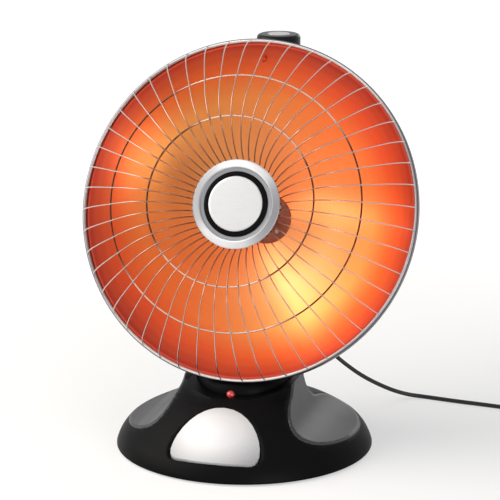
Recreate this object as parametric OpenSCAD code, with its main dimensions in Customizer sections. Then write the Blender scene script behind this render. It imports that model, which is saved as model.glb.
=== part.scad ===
// Parabolic dish heater on a round foot. Millimetres. Z is up, the dish faces -Y,
// and the origin is on the floor at the centre of the foot.

/* [Head] */
// Outer radius of the dish rim
rim_r = 230; // [215:1:245]
// Height of the rim centre above the floor
head_z = 320; // [310:1:335]
// Distance of the rim centre behind the foot centre
head_y = 15; // [5:1:25]
// Backward lean of the dish
head_tilt = 20; // [17:1:23]
// Depth of the reflector from its flange to its vertex
dish_depth = 107; // [95:1:112]
// Width of the flange outside the reflector's bowl
flange_w = 8; // [6:0.5:10]
// Radius on the dish of the screw that holds it to the shell
dish_screw_r = 205; // [180:1:208]
// Sheet thickness of the reflector
dish_t = 1; // [0.8:0.1:1.5]
// Radius of the rolled bead on the rim
bead_r = 2.6; // [2:0.1:3.5]
// Length of the rim channel along the dish axis
channel_h = 9; // [8:0.5:12]
// Wall of the rim channel
channel_t = 1.5; // [1.2:0.1:2.5]
// Wall of the back shell
shell_t = 2.4; // [2:0.1:3]
// Room between the dish and the rear wall of its shell
shell_room = 17.1; // [15:0.1:25]
// Distance of the shell's shoulder inside the rim
shell_shoulder = 45; // [35:1:55]
// Length of one cooling slot in the back shell
vent_l = 34; // [20:1:45]
// Width of one cooling slot
vent_w = 4; // [3:0.5:5]

/* [Wire guard] */
// Number of radial wires
wire_count = 48; // [36:1:56]
// Radius of the radial wires
wire_r = 0.85; // [0.7:0.05:1.2]
// Radius of the two ring rods
ring_rod_r = 1.15; // [0.9:0.05:1.6]
// Radius of the outer ring
outer_ring_r = 168.6; // [160:0.2:178]
// Height of the outer ring in front of the rim plane
outer_ring_s = 67; // [62:0.5:72]
// Radius of the inner ring
inner_ring_r = 111.2; // [104:0.2:118]
// Height of the inner ring in front of the rim plane
inner_ring_s = 91.5; // [87:0.5:96]

/* [Centre cap] */
// Radius of the cap
cap_r = 59; // [55:0.5:64]
// Height of the cap edge in front of the rim plane
cap_s = 57; // [54:0.5:60]
// Radius of the bare front disc
cap_disc_r = 36.2; // [33:0.2:39]
// Outer radius of the black trim ring
cap_trim_r = 43; // [41:0.5:46]
// Width of the sunk ring between the trim and the dished part of the cap
cap_well_w = 4.5; // [3:0.5:6]
// Sheet thickness of the cap
cap_t = 1.2; // [1:0.1:1.6]

/* [Heating element] */
// Radius of the dark plate at the vertex
vertex_plate_r = 34; // [30:1:38]
// Radius of the ceramic core
core_r = 13; // [11:0.5:15]
// Length of the wound part of the core
core_l = 66; // [60:1:72]
// Front end of the core, measured from the rim plane
core_front_s = 30; // [26:1:36]
// Radius of the flanges that hold the winding
flange_r = 22; // [21:0.5:25]
// Radius of the support stem
stem_r = 8; // [6:0.5:10]
// Turns of the winding
winding_turns = 12; // [8:1:12]
// Radius of the wound wire
winding_wire_r = 1.2; // [0.9:0.1:1.4]

/* [Spine and thermostat] */
// Distance of the knob axis behind the foot centre
knob_y = 176.5; // [172:0.5:180]
// Bend radius of the spine
spine_bend = 585; // [570:5:600]
// Height at which the spine becomes upright and the pod starts
pod_z = 440; // [434:1:446]
// Height of the top of the pod
pod_top_z = 503; // [500:1:508]
// Outer radius of the pod
pod_r = 36; // [36:0.5:38]
// Width of the spine
spine_w = 68; // [60:1:69]
// Depth of the spine
spine_d = 50; // [46:1:52]
// Corner radius of the spine
spine_corner = 18; // [16:0.5:20]
// Wall of the spine and the pod
spine_t = 2.5; // [2:0.1:3]
// Radius of the knob
knob_r = 30; // [27:0.5:32]
// Height of the knob
knob_h = 26.5; // [22:0.5:28]
// Radius of the rounding on the knob's top edge
knob_round = 5.5; // [4:0.5:9]
// Radius of the bright inlay on the knob
inlay_r = 15.2; // [12:0.1:17]
// Radius of the thermostat shaft
shaft_r = 3; // [2.5:0.1:3.5]

/* [Base] */
// Radius of the foot
foot_r = 172.6; // [165:0.2:180]
// Height of the lower edge above the floor
edge_z = 2.5; // [2:0.5:4]
// Wall of the base moulding
base_t = 3.4; // [3:0.1:4]
// Half width of the neck between its flat sides
neck_half_w = 75.5; // [72:0.5:79]
// Thickness of the grey side panels
panel_t = 2.2; // [1.8:0.1:2.6]
// Gap between the rim and the saddle that follows it
saddle_gap = 4; // [3:0.5:6]
// Radius of the neck in front and behind
neck_r = 77; // [74:0.5:82]
// Height at which the skirt turns into the slope
skirt_z = 30.5; // [26:0.5:36]
// Width of the skirt seen from above
skirt_w = 15.6; // [12:0.2:20]
// Radius of the neck column where it leaves the saddle
column_r = 64; // [60:0.5:66]
// Wall of the neck column
column_t = 3.5; // [3:0.1:4.5]
// Thickness of the steel bottom plate
plate_t = 1.5; // [1.2:0.1:3]
// Gap between the bottom plate and the inside of the foot
plate_gap = 3.2; // [2:0.1:6]
// Height of the rubber feet
pad_h = 4; // [4:0.5:5]
// Radius of the rubber feet
pad_r = 10; // [8:0.5:12]
// Distance of the rubber feet's centres inside the edge of the foot
pad_inset = 22.6; // [20:0.2:30]
// Distance of the base screws inside the edge of the foot
boss_inset = 34.6; // [30:0.2:40]
// Half width of the badge plate
badge_half_w = 59.6; // [55:0.1:66]
// Distance of the badge's upper edge in front of the foot centre
badge_top = 98.3; // [95:0.1:104]
// Distance of the badge's lower edge inside the edge of the foot
badge_inset = 11; // [7:0.1:14]
// Thickness of the badge plate
badge_t = 1.6; // [1.2:0.1:1.8]
// Radius of the indicator lens
lens_r = 5.2; // [4:0.1:5.5]

/* [Tip-over switch] */
// Radius of the plunger
plunger_r = 4; // [3.5:0.1:4.5]
// Radius of the plunger's collar
plunger_collar_r = 7; // [6.5:0.1:7.5]
// Wire radius of the plunger spring
spring_wire_r = 0.5; // [0.4:0.05:0.6]
// Coil radius of the plunger spring
spring_r = 5.4; // [5.2:0.1:5.8]
// Turns of the plunger spring
spring_turns = 5; // [4:1:7]

/* [Power cord] */
// Radius of the cord
cord_r = 3; // [2.5:0.1:3.5]
// Turns in each layer of the stored coil
coil_turns = 3; // [2:1:4]
// Step between neighbouring turns of the coil
coil_step = 6.8; // [6.6:0.1:8]
// Radius of the outermost turn of the coil
coil_outer_r = 44; // [42:0.5:50]
// Length of the strain relief outside the spine
relief_l = 30; // [22:1:40]
// Width of the strap round the coil
tie_w = 9; // [6:1:14]
// Thickness of the strap round the coil
tie_t = 0.8; // [0.5:0.1:1.2]
// Length of the plug body
plug_l = 34; // [30:1:40]
// Width of the plug body
plug_w = 26; // [22:0.5:30]

/* [Hidden] */

$fn = 96;
// Clearance between pieces that sit against each other
fit = 0.2;
// Clearance round a piece that turns or slides
run = 0.15;
// Overlap of the parts of one solid
lap = 0.5;
// Steps of each curved stretch of a profile
steps = 8;

black = [0.07, 0.07, 0.075];
grey = [0.36, 0.37, 0.37];
silver = [0.82, 0.82, 0.84];
steel = [0.62, 0.63, 0.65];
copper_glow = [0.84, 0.43, 0.25];

// Length of a cutter that goes right through a piece
through = 60;

// Height of the bottom plate above the floor
plate_z = pad_h + fit;
plate_r = foot_r - base_t - plate_gap;
pad_circle_r = foot_r - pad_inset;
saddle_r = rim_r + saddle_gap;
// Height of the lowest line of the saddle
saddle_low_z = head_z - saddle_r;

// ---------------------------------------------------------------- curves

function bend2(p, q, r, n = steps) =
    [for (i = [0:n]) let (t = i / n) (1 - t) * (1 - t) * p + 2 * t * (1 - t) * q + t * t * r];

function bend3(p, q, r, s, n = steps) =
    [for (i = [0:n]) let (t = i / n, u = 1 - t)
        u * u * u * p + 3 * u * u * t * q + 3 * u * t * t * r + t * t * t * s];

function tail(list) = [for (i = [1:len(list) - 1]) list[i]];
function unit(v) = v / norm(v);

// Joins rings of points into one closed tube of triangles
module ring_tube(rings) {
    n = len(rings[0]);
    last = len(rings) - 1;
    sides = [for (k = [0:last - 1], i = [0:n - 1])
        let (a = k * n + i, b = k * n + (i + 1) % n)
        each [[a, b + n, b], [a, a + n, b + n]]];
    polyhedron(
        points = [for (ring = rings) each ring],
        faces = concat(
            [[for (i = [0:n - 1]) i]],
            sides,
            [[for (i = [0:n - 1]) last * n + n - 1 - i]]
        )
    );
}

// One ring of a tube, square to the direction t, with its first point towards side
function ring_at(c, t, side, r, n) =
    let (u = unit(side - t * (side * t)), v = cross(t, u))
    [for (i = [0:n - 1]) c + r * (cos(360 * i / n) * u + sin(360 * i / n) * v)];

// Directions along a list of points
function heading(p, i) = unit(p[min(i + 1, len(p) - 1)] - p[max(i - 1, 0)]);

// Smooth curve through hand-set points
function through(p, per) = let (m = len(p) - 1) concat(
    [for (k = [0:m - 1], j = [0:per - 1])
        let (
            t = j / per,
            a = p[max(k - 1, 0)], b = p[k], c = p[k + 1], d = p[min(k + 2, m)]
        )
        0.5 * (2 * b + t * (c - a) + t * t * (2 * a - 5 * b + 4 * c - d)
            + t * t * t * (3 * b - a - 3 * c + d))],
    [p[m]]);

// Places the head's own axes: z along the dish axis towards the room, y up the dish
module on_head() translate([0, head_y, head_z]) rotate([90 - head_tilt, 0, 0]) children();

// ---------------------------------------------------------------- reflector and rim

flange_s = -bead_r - 0.3;
dish_r = rim_r - flange_w;
dish_focal = dish_r * dish_r / (4 * dish_depth);
channel_in_r = rim_r - channel_t;
flange_out_r = channel_in_r - fit;
vertex_s = flange_s - dish_depth;
stem_hole_r = stem_r + 4;
// Depth of the back shell behind the rim plane
shell_depth = shell_room - vertex_s;

function dish_s(r) = vertex_s + r * r / (4 * dish_focal);
function dish_curve(shift, from_r) =
    [for (i = [0:24]) let (r = from_r + (dish_r - from_r) * i / 24) [r, dish_s(r) + shift]];

module reflector() {
    back = dish_curve(-dish_t, stem_hole_r);
    front = dish_curve(0, stem_hole_r);
    color(copper_glow) on_head() difference() {
        rotate_extrude($fn = 144) polygon(concat(
            front,
            [[flange_out_r, flange_s], [flange_out_r, flange_s - dish_t]],
            [for (i = [0:24]) back[24 - i]]
        ));
        at_dish_screws() cylinder(r = screw_hole_r, h = through, center = true);
        at_vertex_screws() cylinder(r = screw_hole_r, h = through, center = true);
    }
}

module rim_channel() {
    color(silver) on_head() rotate_extrude($fn = 144) {
        translate([rim_r - bead_r, 0]) circle(r = bead_r, $fn = 32);
        translate([rim_r - channel_t, -channel_h]) square([channel_t, channel_h]);
        translate([dish_r + 1, -channel_h]) square([rim_r - dish_r - 1, channel_t * 0.7]);
    }
}

// ---------------------------------------------------------------- back shell

shell_flange_s = flange_s - dish_t - fit;
shell_rear_r = 60;
shell_start_r = dish_r + 1 - fit;
shell_start_s = -channel_h + channel_t * 0.7 + fit;

// Outer profile of the back shell, moved out by grow
function shell_curve(grow) = bend2(
    [shell_start_r + grow, shell_start_s - grow / 2],
    [rim_r - shell_shoulder + grow, -shell_depth * 0.75 - grow],
    [shell_rear_r + grow, -shell_depth - grow], 14);

module shell_envelope(grow) {
    rotate_extrude($fn = 144) polygon(concat(
        [[0, 0], [rim_r + grow, 0], [rim_r + grow, -channel_h - grow],
            [shell_start_r + grow, -channel_h - grow]],
        tail(shell_curve(grow)),
        [[0, -shell_depth - grow]]
    ));
}

// Room that the head takes up, with everything in front of its rim
module head_room() on_head() {
    shell_envelope(fit);
    cylinder(r = rim_r + 70, h = 400);
}

module vent_slots() {
    for (side = [0, 180], a = [-52:13:52])
        rotate([0, 0, side + a]) translate([150, 0, -shell_depth]) {
            cube([vent_l - vent_w, vent_w, 160], center = true);
            for (e = [-1, 1])
                translate([e * (vent_l - vent_w) / 2, 0, 0])
                    cylinder(d = vent_w, h = 160, center = true, $fn = 24);
        }
}

module back_shell() {
    outer = shell_curve(0);
    inner = [for (p = outer) p + [-shell_t * 0.6, shell_t * 0.8]];
    n = len(outer) - 1;
    color(black) on_head() difference() {
        rotate_extrude($fn = 144) polygon(concat(
            [[shell_wire_hole_r, -shell_depth]],
            [for (i = [0:n]) outer[n - i]],
            [[flange_out_r, shell_start_s], [flange_out_r, shell_flange_s],
                [dish_r + 2 * fit, shell_flange_s]],
            inner,
            [[shell_wire_hole_r, -shell_depth + shell_t]]
        ));
        intersection() {
            vent_slots();
            translate([0, 0, -shell_depth - 10]) cylinder(r = 200, h = shell_depth - 20);
        }
        at_dish_screws() cylinder(r = screw_hole_r, h = through, center = true);
        at_head_screws() cylinder(r = screw_hole_r, h = through, center = true);
    }
}

// ---------------------------------------------------------------- wire guard

// Each wire leans on the outer sides of both rings and ends behind the cap's edge
wire_start = [rim_r - bead_r, bead_r + wire_r];
outer_lean = [-26, 20];
inner_lean = [-22, -3];
ring_reach = ring_rod_r + wire_r + fit;
wire_outer = [outer_ring_r, outer_ring_s] + ring_reach * unit([outer_lean[1], -outer_lean[0]]);
wire_inner = [inner_ring_r, inner_ring_s] + ring_reach * unit([-inner_lean[1], -inner_lean[0]]);
first_wire = 4;
wire_rise = [-6, 26];
wire_turn = [cap_r + 2, cap_s];
wire_drop = [7, 15];
wire_end = [cap_r - 5, cap_s];

// Course of one guard wire as points of radius and height
wire_course = concat(
    bend3(wire_start, wire_start + wire_rise, wire_outer - outer_lean, wire_outer, 4),
    tail(bend3(wire_outer, wire_outer + outer_lean * 0.85, wire_inner - inner_lean, wire_inner, 3)),
    tail(bend3(wire_inner, wire_inner + inner_lean, wire_turn + wire_drop, wire_turn, 3)),
    [wire_end]
);

module guard_wire() {
    path = [for (p = wire_course) [p[0], 0, p[1]]];
    ring_tube([for (i = [0:len(path) - 1])
        ring_at(path[i], heading(path, i), [0, 1, 0], wire_r, 6)]);
}

module guard_wires() {
    color(silver) on_head()
        for (i = [0:wire_count - 1])
            rotate([0, 0, first_wire + 360 * i / wire_count]) guard_wire();
}

module guard_ring(r, s) {
    color(silver) on_head() translate([0, 0, s])
        rotate_extrude($fn = 144) translate([r, 0]) circle(r = ring_rod_r, $fn = 24);
}

module guard_outer_ring() guard_ring(outer_ring_r, outer_ring_s);
module guard_inner_ring() guard_ring(inner_ring_r, inner_ring_s);

// ---------------------------------------------------------------- centre cap

cap_face_s = cap_s + 6.3;
cap_seat_s = cap_s + 2.6;
cap_stud_r = 4;
cap_well_r = cap_trim_r + cap_well_w;

module cap_dish() {
    color(silver) on_head() rotate_extrude($fn = 96) polygon([
        [cap_stud_r + fit, cap_seat_s - cap_t], [cap_well_r + 0.5, cap_seat_s - cap_t],
        [cap_well_r + 2, cap_s + 3.9 - cap_t], [cap_r - 2.5, cap_s + wire_r + fit],
        [cap_r - 0.4, cap_s + wire_r + fit], [cap_r, cap_s + wire_r + fit + 0.4],
        [cap_r, cap_s + wire_r + 1.2], [cap_r - 1, cap_s + wire_r + 1.8],
        [cap_well_r + 2.4, cap_s + 4.2], [cap_well_r + 0.9, cap_s + 3.9],
        [cap_well_r, cap_seat_s], [cap_stud_r + fit, cap_seat_s]
    ]);
}

module cap_backing() {
    color(steel) on_head() rotate_extrude($fn = 96) polygon([
        [0, cap_s - wire_r - fit - cap_t], [cap_r - 2, cap_s - wire_r - fit - cap_t],
        [cap_r - 2, cap_s - wire_r - fit], [cap_stud_r + 3, cap_s - wire_r - fit],
        [cap_stud_r + 3, cap_seat_s - cap_t - fit], [cap_stud_r, cap_seat_s - cap_t - fit],
        [cap_stud_r, cap_seat_s + 0.4], [0, cap_seat_s + 0.4]
    ]);
}

module cap_trim_ring() {
    inner_r = cap_disc_r + fit;
    color(black) on_head() rotate_extrude($fn = 96) polygon([
        [inner_r - 4, cap_seat_s + fit], [cap_trim_r, cap_seat_s + fit],
        [cap_trim_r, cap_seat_s + 1.4], [cap_trim_r - 2, cap_seat_s + 2.4],
        [inner_r, cap_seat_s + 2.4], [inner_r, cap_seat_s + 1.2], [inner_r - 4, cap_seat_s + 1.2]
    ]);
}

module cap_disc() {
    color(silver) on_head() rotate_extrude($fn = 96) polygon([
        [0, cap_seat_s + 1.2 + fit], [cap_disc_r, cap_seat_s + 1.2 + fit],
        [cap_disc_r, cap_face_s - 0.6], [cap_disc_r - 0.6, cap_face_s], [0, cap_face_s + 0.6]
    ]);
}

// ---------------------------------------------------------------- heating element

plate_seat_s = dish_s(vertex_plate_r) + fit;
vertex_plate_t = 1.6;
core_rear_s = core_front_s - core_l;
flange_t = 4;
standoff_r = 27;
screw_r = 1.9;
screw_hole_r = 2.1;
screw_head_r = 3.6;
screw_head_h = 2;
shell_wire_hole_r = 9;

module at_vertex_screws()
    for (a = [45:90:315]) rotate([0, 0, a]) translate([standoff_r - 3.5, 0, vertex_s]) children();

module at_dish_screws()
    for (a = dish_screw_angles) rotate([0, 0, a]) translate([dish_screw_r, 0, dish_s(dish_screw_r)])
        children();

module at_head_screws()
    for (side = [-1, 1], v = [-head_screw_y, head_screw_y])
        translate([side * head_screw_x, v, -shell_depth]) children();

dish_screw_angles = [90];
// Height of the shell behind the dish screw
dish_screw_shell_s = lookup(dish_screw_r, [for (p = shell_curve(0)) [p[0], p[1]]]);
head_screw_x = 22;
head_screw_y = 24;

module vertex_plate() {
    color([0.36, 0.2, 0.13]) on_head() difference() {
        translate([0, 0, plate_seat_s]) rotate_extrude() polygon([
            [stem_r + fit, 0], [vertex_plate_r, 0], [vertex_plate_r, vertex_plate_t * 0.5],
            [vertex_plate_r - 1, vertex_plate_t], [stem_r + fit, vertex_plate_t]
        ]);
        at_vertex_screws() cylinder(r = screw_hole_r, h = through, center = true);
    }
}

// Pan-head screw whose head sits on z = 0 and whose shank goes down
module screw(r, h, head_r = screw_head_r) {
    difference() {
        union() {
            translate([0, 0, -h]) cylinder(r = r, h = h + lap, $fn = 32);
            cylinder(r1 = head_r, r2 = head_r * 0.8, h = screw_head_h, $fn = 48);
        }
        translate([0, 0, screw_head_h]) cube([head_r * 1.3, 0.9, 1.6], center = true);
    }
}

module vertex_plate_screws() {
    color(steel) on_head() at_vertex_screws()
        translate([0, 0, plate_seat_s + vertex_plate_t + fit - vertex_s]) screw(screw_r, 14);
}

module element_stem() {
    color(silver) on_head() translate([0, 0, vertex_s - 3]) difference() {
        union() {
            cylinder(r = stem_r, h = core_rear_s - flange_t - fit - vertex_s + 3);
            cylinder(r = stem_hole_r - 1, h = 2);
        }
        translate([0, 0, -1]) cylinder(r = stem_r - 2, h = 200);
    }
}

module element_core() {
    groove = winding_pitch;
    color([0.9, 0.86, 0.78]) on_head() difference() {
        union() {
            translate([0, 0, core_rear_s]) cylinder(r = core_r, h = core_l);
            translate([0, 0, core_rear_s - flange_t]) cylinder(r = flange_r, h = flange_t);
            translate([0, 0, core_front_s]) cylinder(r = flange_r, h = flange_t);
            for (i = [1:winding_turns])
                translate([0, 0, core_rear_s + i * groove])
                    cylinder(r1 = core_r + 0.8, r2 = core_r, h = groove * 0.2);
        }
        translate([0, 0, core_rear_s - 20]) cylinder(r = 4, h = core_l + 60);
    }
}

winding_pitch = (core_l - 4 * winding_wire_r) / (winding_turns + 1);
winding_r = core_r + 1.2 + winding_wire_r;
winding_rings = 24;
winding_lead = 2 * winding_wire_r;

// The heater wire: straight leads square to both flanges, and one turn after another between
function winding_point(i) = let (
        turn = i / winding_rings,
        h = core_rear_s + winding_lead + winding_pitch / 2 + turn * winding_pitch
    )
    [winding_r * cos(360 * turn), winding_r * sin(360 * turn), h];

winding_path = concat(
    [[winding_r, 0, core_rear_s + fit], [winding_r, 0, core_rear_s + winding_lead]],
    [for (i = [2:winding_rings * winding_turns - 2]) winding_point(i)],
    [[winding_r, 0, core_front_s - winding_lead], [winding_r, 0, core_front_s - fit]]
);

function winding_side(p) = unit([p[0], p[1], 0]);

module element_winding() {
    last = len(winding_path) - 1;
    color([1, 0.55, 0.2]) on_head() ring_tube([for (i = [0:last])
        ring_at(
            winding_path[i],
            i == 0 || i == last ? [0, 0, 1] : heading(winding_path, i),
            winding_side(winding_path[i]), winding_wire_r, 6)]);
}

module element_front_plate() {
    color(steel) on_head() translate([0, 0, core_front_s + flange_t + fit]) {
        cylinder(r = flange_r + 1, h = 1.5);
        translate([0, 0, 1]) cylinder(r = 6, h = 4, $fn = 6);
        translate([0, 0, -12]) cylinder(r = 4 - fit, h = 13);
    }
}

module standoff_ring() {
    top = vertex_s - dish_t - fit;
    color(steel) on_head() difference() {
        translate([0, 0, -shell_depth + shell_t + fit])
            cylinder(r = standoff_r, h = top - (-shell_depth + shell_t + fit));
        translate([0, 0, -shell_depth]) cylinder(r = stem_hole_r + 1, h = through);
        at_vertex_screws() cylinder(r = screw_hole_r - 0.1, h = through, center = true);
    }
}

module dish_screws() {
    lift = dish_s(dish_screw_r + screw_head_r) - dish_s(dish_screw_r) + fit;
    shank = dish_s(dish_screw_r) + lift - dish_screw_shell_s + 3;
    color([0.5, 0.2, 0.12]) on_head() at_dish_screws() translate([0, 0, lift])
        screw(screw_r, shank);
}

module head_screws() {
    color(steel) on_head() at_head_screws()
        translate([0, 0, shell_t + fit]) screw(screw_r, 16);
}

cutoff_r = 8;
cutoff_at = 66;

module thermal_cutoff() {
    top = dish_s(cutoff_at - cutoff_r) - dish_t - fit;
    color([0.75, 0.7, 0.55]) on_head() translate([cutoff_at, 0, top - 9]) {
        cylinder(r = cutoff_r, h = 9);
        for (e = [-1, 1]) translate([0, e * 4 - 1.5, -5]) cube([0.8, 3, 6]);
    }
}

// ---------------------------------------------------------------- spine

arc_y = knob_y - spine_bend;
inner_w = spine_w - 2 * spine_t;
inner_d = spine_d - 2 * spine_t;
split = 10;
// Thick pad in the wall where the spine lies against the shell, for its screws
head_pad_y = 36;
head_pad_t = 7;
screw_angles = [-26, -18, -10, -3];
boss_r = 4.8;
boss_x = spine_w / 2 - 10;
// Height of the cover screws' seats above the spine's centre line
seat_out = spine_d / 2 - 8;

module rounded_rect(d, w, r) {
    square([d - 2 * r, w], center = true);
    square([d, w - 2 * r], center = true);
    for (x = [-1, 1], y = [-1, 1])
        translate([x * (d / 2 - r), y * (w / 2 - r)]) circle(r = r, $fn = 48);
}

module spine_section() {
    difference() {
        rounded_rect(spine_d, spine_w, spine_corner);
        rounded_rect(inner_d, inner_w, spine_corner - spine_t);
    }
}

// Sweeps a section along the spine's arc; x of the section points away from the bend centre
module along_spine(from, to)
    translate([0, arc_y, pod_z]) rotate([90, 0, 90]) rotate([0, 0, from])
        rotate_extrude(angle = to - from, $fn = 360) translate([spine_bend, 0]) children();

// A place on the spine's arc with z pointing away from the bend centre
module at_spine(angle, x, out)
    translate([0, arc_y, pod_z]) rotate([angle, 0, 0]) translate([x, spine_bend + out, 0])
        rotate([-90, 0, 0]) children();

spine_foot_z = 78;
spine_from = -asin((pod_z - spine_foot_z) / spine_bend);

module spine_limits() {
    difference() {
        children();
        head_room();
        column_envelope(fit);
        saddle_below(fit);
    }
}

module at_cover_screws(out)
    for (a = screw_angles, side = [-1, 1]) at_spine(a, side * boss_x, out) children();

// Screw bosses between two heights, rooted in the middle of the wall
module spine_bosses(from, to)
    for (side = [-1, 1], a = screw_angles)
        intersection() {
            at_spine(a, side * boss_x, from) cylinder(r = boss_r, h = to - from);
            along_spine(a - 2, a + 2)
                rounded_rect(spine_d - spine_t, spine_w - spine_t, spine_corner - spine_t / 2);
        }

module spine_housing() {
    color(black) difference() {
        spine_limits() union() {
            along_spine(spine_from, 0) intersection() {
                spine_section();
                translate([-spine_d, -spine_w]) square([spine_d + split, 2 * spine_w]);
            }
            spine_bosses(-spine_d, split);
            intersection() {
                along_spine(spine_from, 0) intersection() {
                    rounded_rect(spine_d - spine_t, spine_w - spine_t, spine_corner - spine_t / 2);
                    translate([-spine_d, -spine_w]) square([spine_d + split - 1, 2 * spine_w]);
                }
                on_head() {
                    shell_envelope(fit + spine_t);
                    translate([-spine_w / 2, -head_pad_y, -shell_depth - head_pad_t])
                        cube([spine_w, 2 * head_pad_y, head_pad_t]);
                }
            }
        }
        at_cover_screws(0) cylinder(r = screw_hole_r - 0.15, h = through, center = true);
        on_head() at_head_screws() cylinder(r = screw_hole_r - 0.15, h = through, center = true);
        on_head() translate([0, 0, -shell_depth - 20]) cylinder(r = shell_wire_hole_r, h = 30);
    }
}

module spine_cover() {
    color(black) difference() {
        spine_limits() union() {
            along_spine(spine_from, 0) intersection() {
                spine_section();
                translate([split + fit, -spine_w]) square([spine_d, 2 * spine_w]);
            }
            spine_bosses(split + fit, spine_d);
        }
        at_cover_screws(0) cylinder(r = screw_hole_r, h = through, center = true);
        at_cover_screws(seat_out) cylinder(r = screw_head_r + 0.3, h = 20);
        at_relief(-20) cylinder(r = relief_neck_r + fit, h = 40);
    }
}

module spine_cover_screws() {
    color(steel) at_cover_screws(seat_out + fit) screw(screw_r, 14);
}

// ---------------------------------------------------------------- pod, thermostat and knob

pod_plate_t = 3;
thermostat_r = 18;
thermostat_h = 24;
bushing_r = 5;
bushing_top_z = pod_top_z + 5;
knob_z = pod_top_z + 1;
inlay_t = 1.2;

module on_knob_axis(z) translate([0, knob_y, z]) children();

module pod_housing() {
    color(black) difference() {
        on_knob_axis(0) rotate_extrude() polygon(concat(
            [[0, pod_z + fit], [pod_r, pod_z + fit]],
            bend2([pod_r, pod_top_z - 5], [pod_r, pod_top_z], [pod_r - 5, pod_top_z], 5),
            [[0, pod_top_z]]
        ));
        on_knob_axis(pod_z + spine_t)
            cylinder(r = pod_r - spine_t, h = pod_top_z - pod_z - spine_t - pod_plate_t);
        on_knob_axis(pod_z - 1) cylinder(r = 14, h = 10);
        on_knob_axis(pod_z) cylinder(r = bushing_r + fit, h = 100);
        on_head() shell_envelope(fit);
    }
}

module thermostat() {
    top = pod_top_z - pod_plate_t - fit;
    color([0.85, 0.8, 0.7]) on_knob_axis(0) difference() {
        union() {
            translate([0, 0, top - thermostat_h]) cylinder(r = thermostat_r, h = thermostat_h);
            translate([0, 0, top - lap]) cylinder(r = bushing_r, h = bushing_top_z - top + lap);
            for (e = [-1, 1])
                translate([e * 8 - 3, -0.4, top - thermostat_h - 8]) cube([6, 0.8, 8 + lap]);
        }
        translate([0, 0, top - thermostat_h + 4]) cylinder(r = shaft_r + run, h = through);
    }
}

module thermostat_nut() {
    color(steel) on_knob_axis(pod_top_z + fit) difference() {
        cylinder(r = 8, h = 3, $fn = 6);
        translate([0, 0, -1]) cylinder(r = bushing_r + 0.1, h = 6);
    }
}

module thermostat_shaft() {
    bottom = pod_top_z - pod_plate_t - fit - thermostat_h + 4.3;
    color(silver) on_knob_axis(bottom) cylinder(r = shaft_r, h = knob_z + 16 - bottom);
}

module knob() {
    top = knob_z + knob_h;
    color(black) on_knob_axis(0) difference() {
        rotate_extrude() polygon(concat(
            [[0, knob_z], [knob_r - 1, knob_z], [knob_r, knob_z + 1]],
            [for (i = [0:steps]) let (a = 90 * i / steps)
                [knob_r - knob_round + knob_round * cos(a), top - knob_round + knob_round * sin(a)]],
            [[0, top]]
        ));
        translate([0, 0, knob_z - 1]) cylinder(r = 10.5, h = bushing_top_z - knob_z + 2.5);
        translate([0, 0, knob_z]) cylinder(r = shaft_r + 0.05, h = 16.1);
        translate([0, 0, top - inlay_t]) cylinder(r = inlay_r + 0.1, h = 5);
    }
}

module knob_inlay() {
    top = knob_z + knob_h;
    color(silver) on_knob_axis(0) difference() {
        translate([0, 0, top - inlay_t + 0.05]) cylinder(r = inlay_r, h = inlay_t + 0.25);
        translate([0, 0, top - 0.4]) cylinder(r = 1.8, h = 3);
    }
}

lead_r = 2;
lead_x = 6;

// Two leads that lie against the inside of the spine cover, held together by a clip
module wiring_harness() {
    color([0.8, 0.1, 0.1]) {
        for (side = [-1, 1])
            along_spine(-24, -1) translate([inner_d / 2 - lead_r - fit, side * lead_x])
                circle(r = lead_r, $fn = 24);
        along_spine(-13, -12) translate([inner_d / 2 - lead_r - fit, 0])
            square([2 * lead_r, 2 * lead_x + 2 * lead_r + 2], center = true);
    }
}

// ---------------------------------------------------------------- base

// Points of the foot's profile as radius and height; the pulls bend it between the others
skirt_top = [foot_r - skirt_w, skirt_z];
front_knee = [neck_r + 13, saddle_low_z - 2];
front_pull = [neck_r + 41, front_knee[1] - 15];
rear_knee = [neck_r + 23, saddle_low_z - 27];
rear_pull = [neck_r + 51, rear_knee[1] - 7];
front_neck_pull = [neck_r + 2, front_knee[1] + 7];
rear_neck_pull = [neck_r + 5, rear_knee[1] + 5];
// The neck is drawn up past the saddle, which then cuts it
neck_top = [neck_r, saddle_low_z + 28];
skirt_low_z = 4;

function skirt_curve(d) = bend2([foot_r, skirt_low_z] + d, [foot_r - 4.5, 20] + d, skirt_top + d, 6);

// Front profile of the foot from its edge up to the neck, pulled in by inset
function front_profile(inset) = let (d = [-inset, -inset]) concat(
    skirt_curve(d),
    tail(bend2(skirt_top + d, front_pull + d, front_knee + d)),
    tail(bend2(front_knee + d, front_neck_pull + d, neck_top + d, 6))
);

function rear_profile(inset) = let (d = [-inset, -inset]) concat(
    skirt_curve(d),
    tail(bend2(skirt_top + d, rear_pull + d, rear_knee + d)),
    tail(bend2(rear_knee + d, rear_neck_pull + d, neck_top + d))
);

module half_turn(profile, bottom)
    rotate_extrude(angle = 180, $fn = 144) polygon(concat(
        [[0, bottom], [profile[0][0], bottom]], profile,
        [[0, profile[len(profile) - 1][1]]]
    ));

side_top = [neck_half_w, saddle_low_z + 18];
side_low = [foot_r - 11.6, skirt_z + 1.5];

// Flare of the side panels from the neck's flat side down to the foot, pulled in by inset
function side_curve(inset) = let (d = [-inset, -inset]) bend3(
    side_top + d, [neck_half_w + 3.5, side_low[1] + 12] + d,
    [side_low[0] - 43, side_low[1] + 6] + d, side_low + d, 12);

module side_cutter(side, inset)
    mirror([side < 0 ? 1 : 0, 0, 0]) rotate([90, 0, 0])
        linear_extrude(height = 420, center = true) polygon(concat(
            [[neck_half_w - inset, head_z]], side_curve(inset),
            [[foot_r + through, side_low[1] - inset], [foot_r + through, head_z]]
        ));

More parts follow.
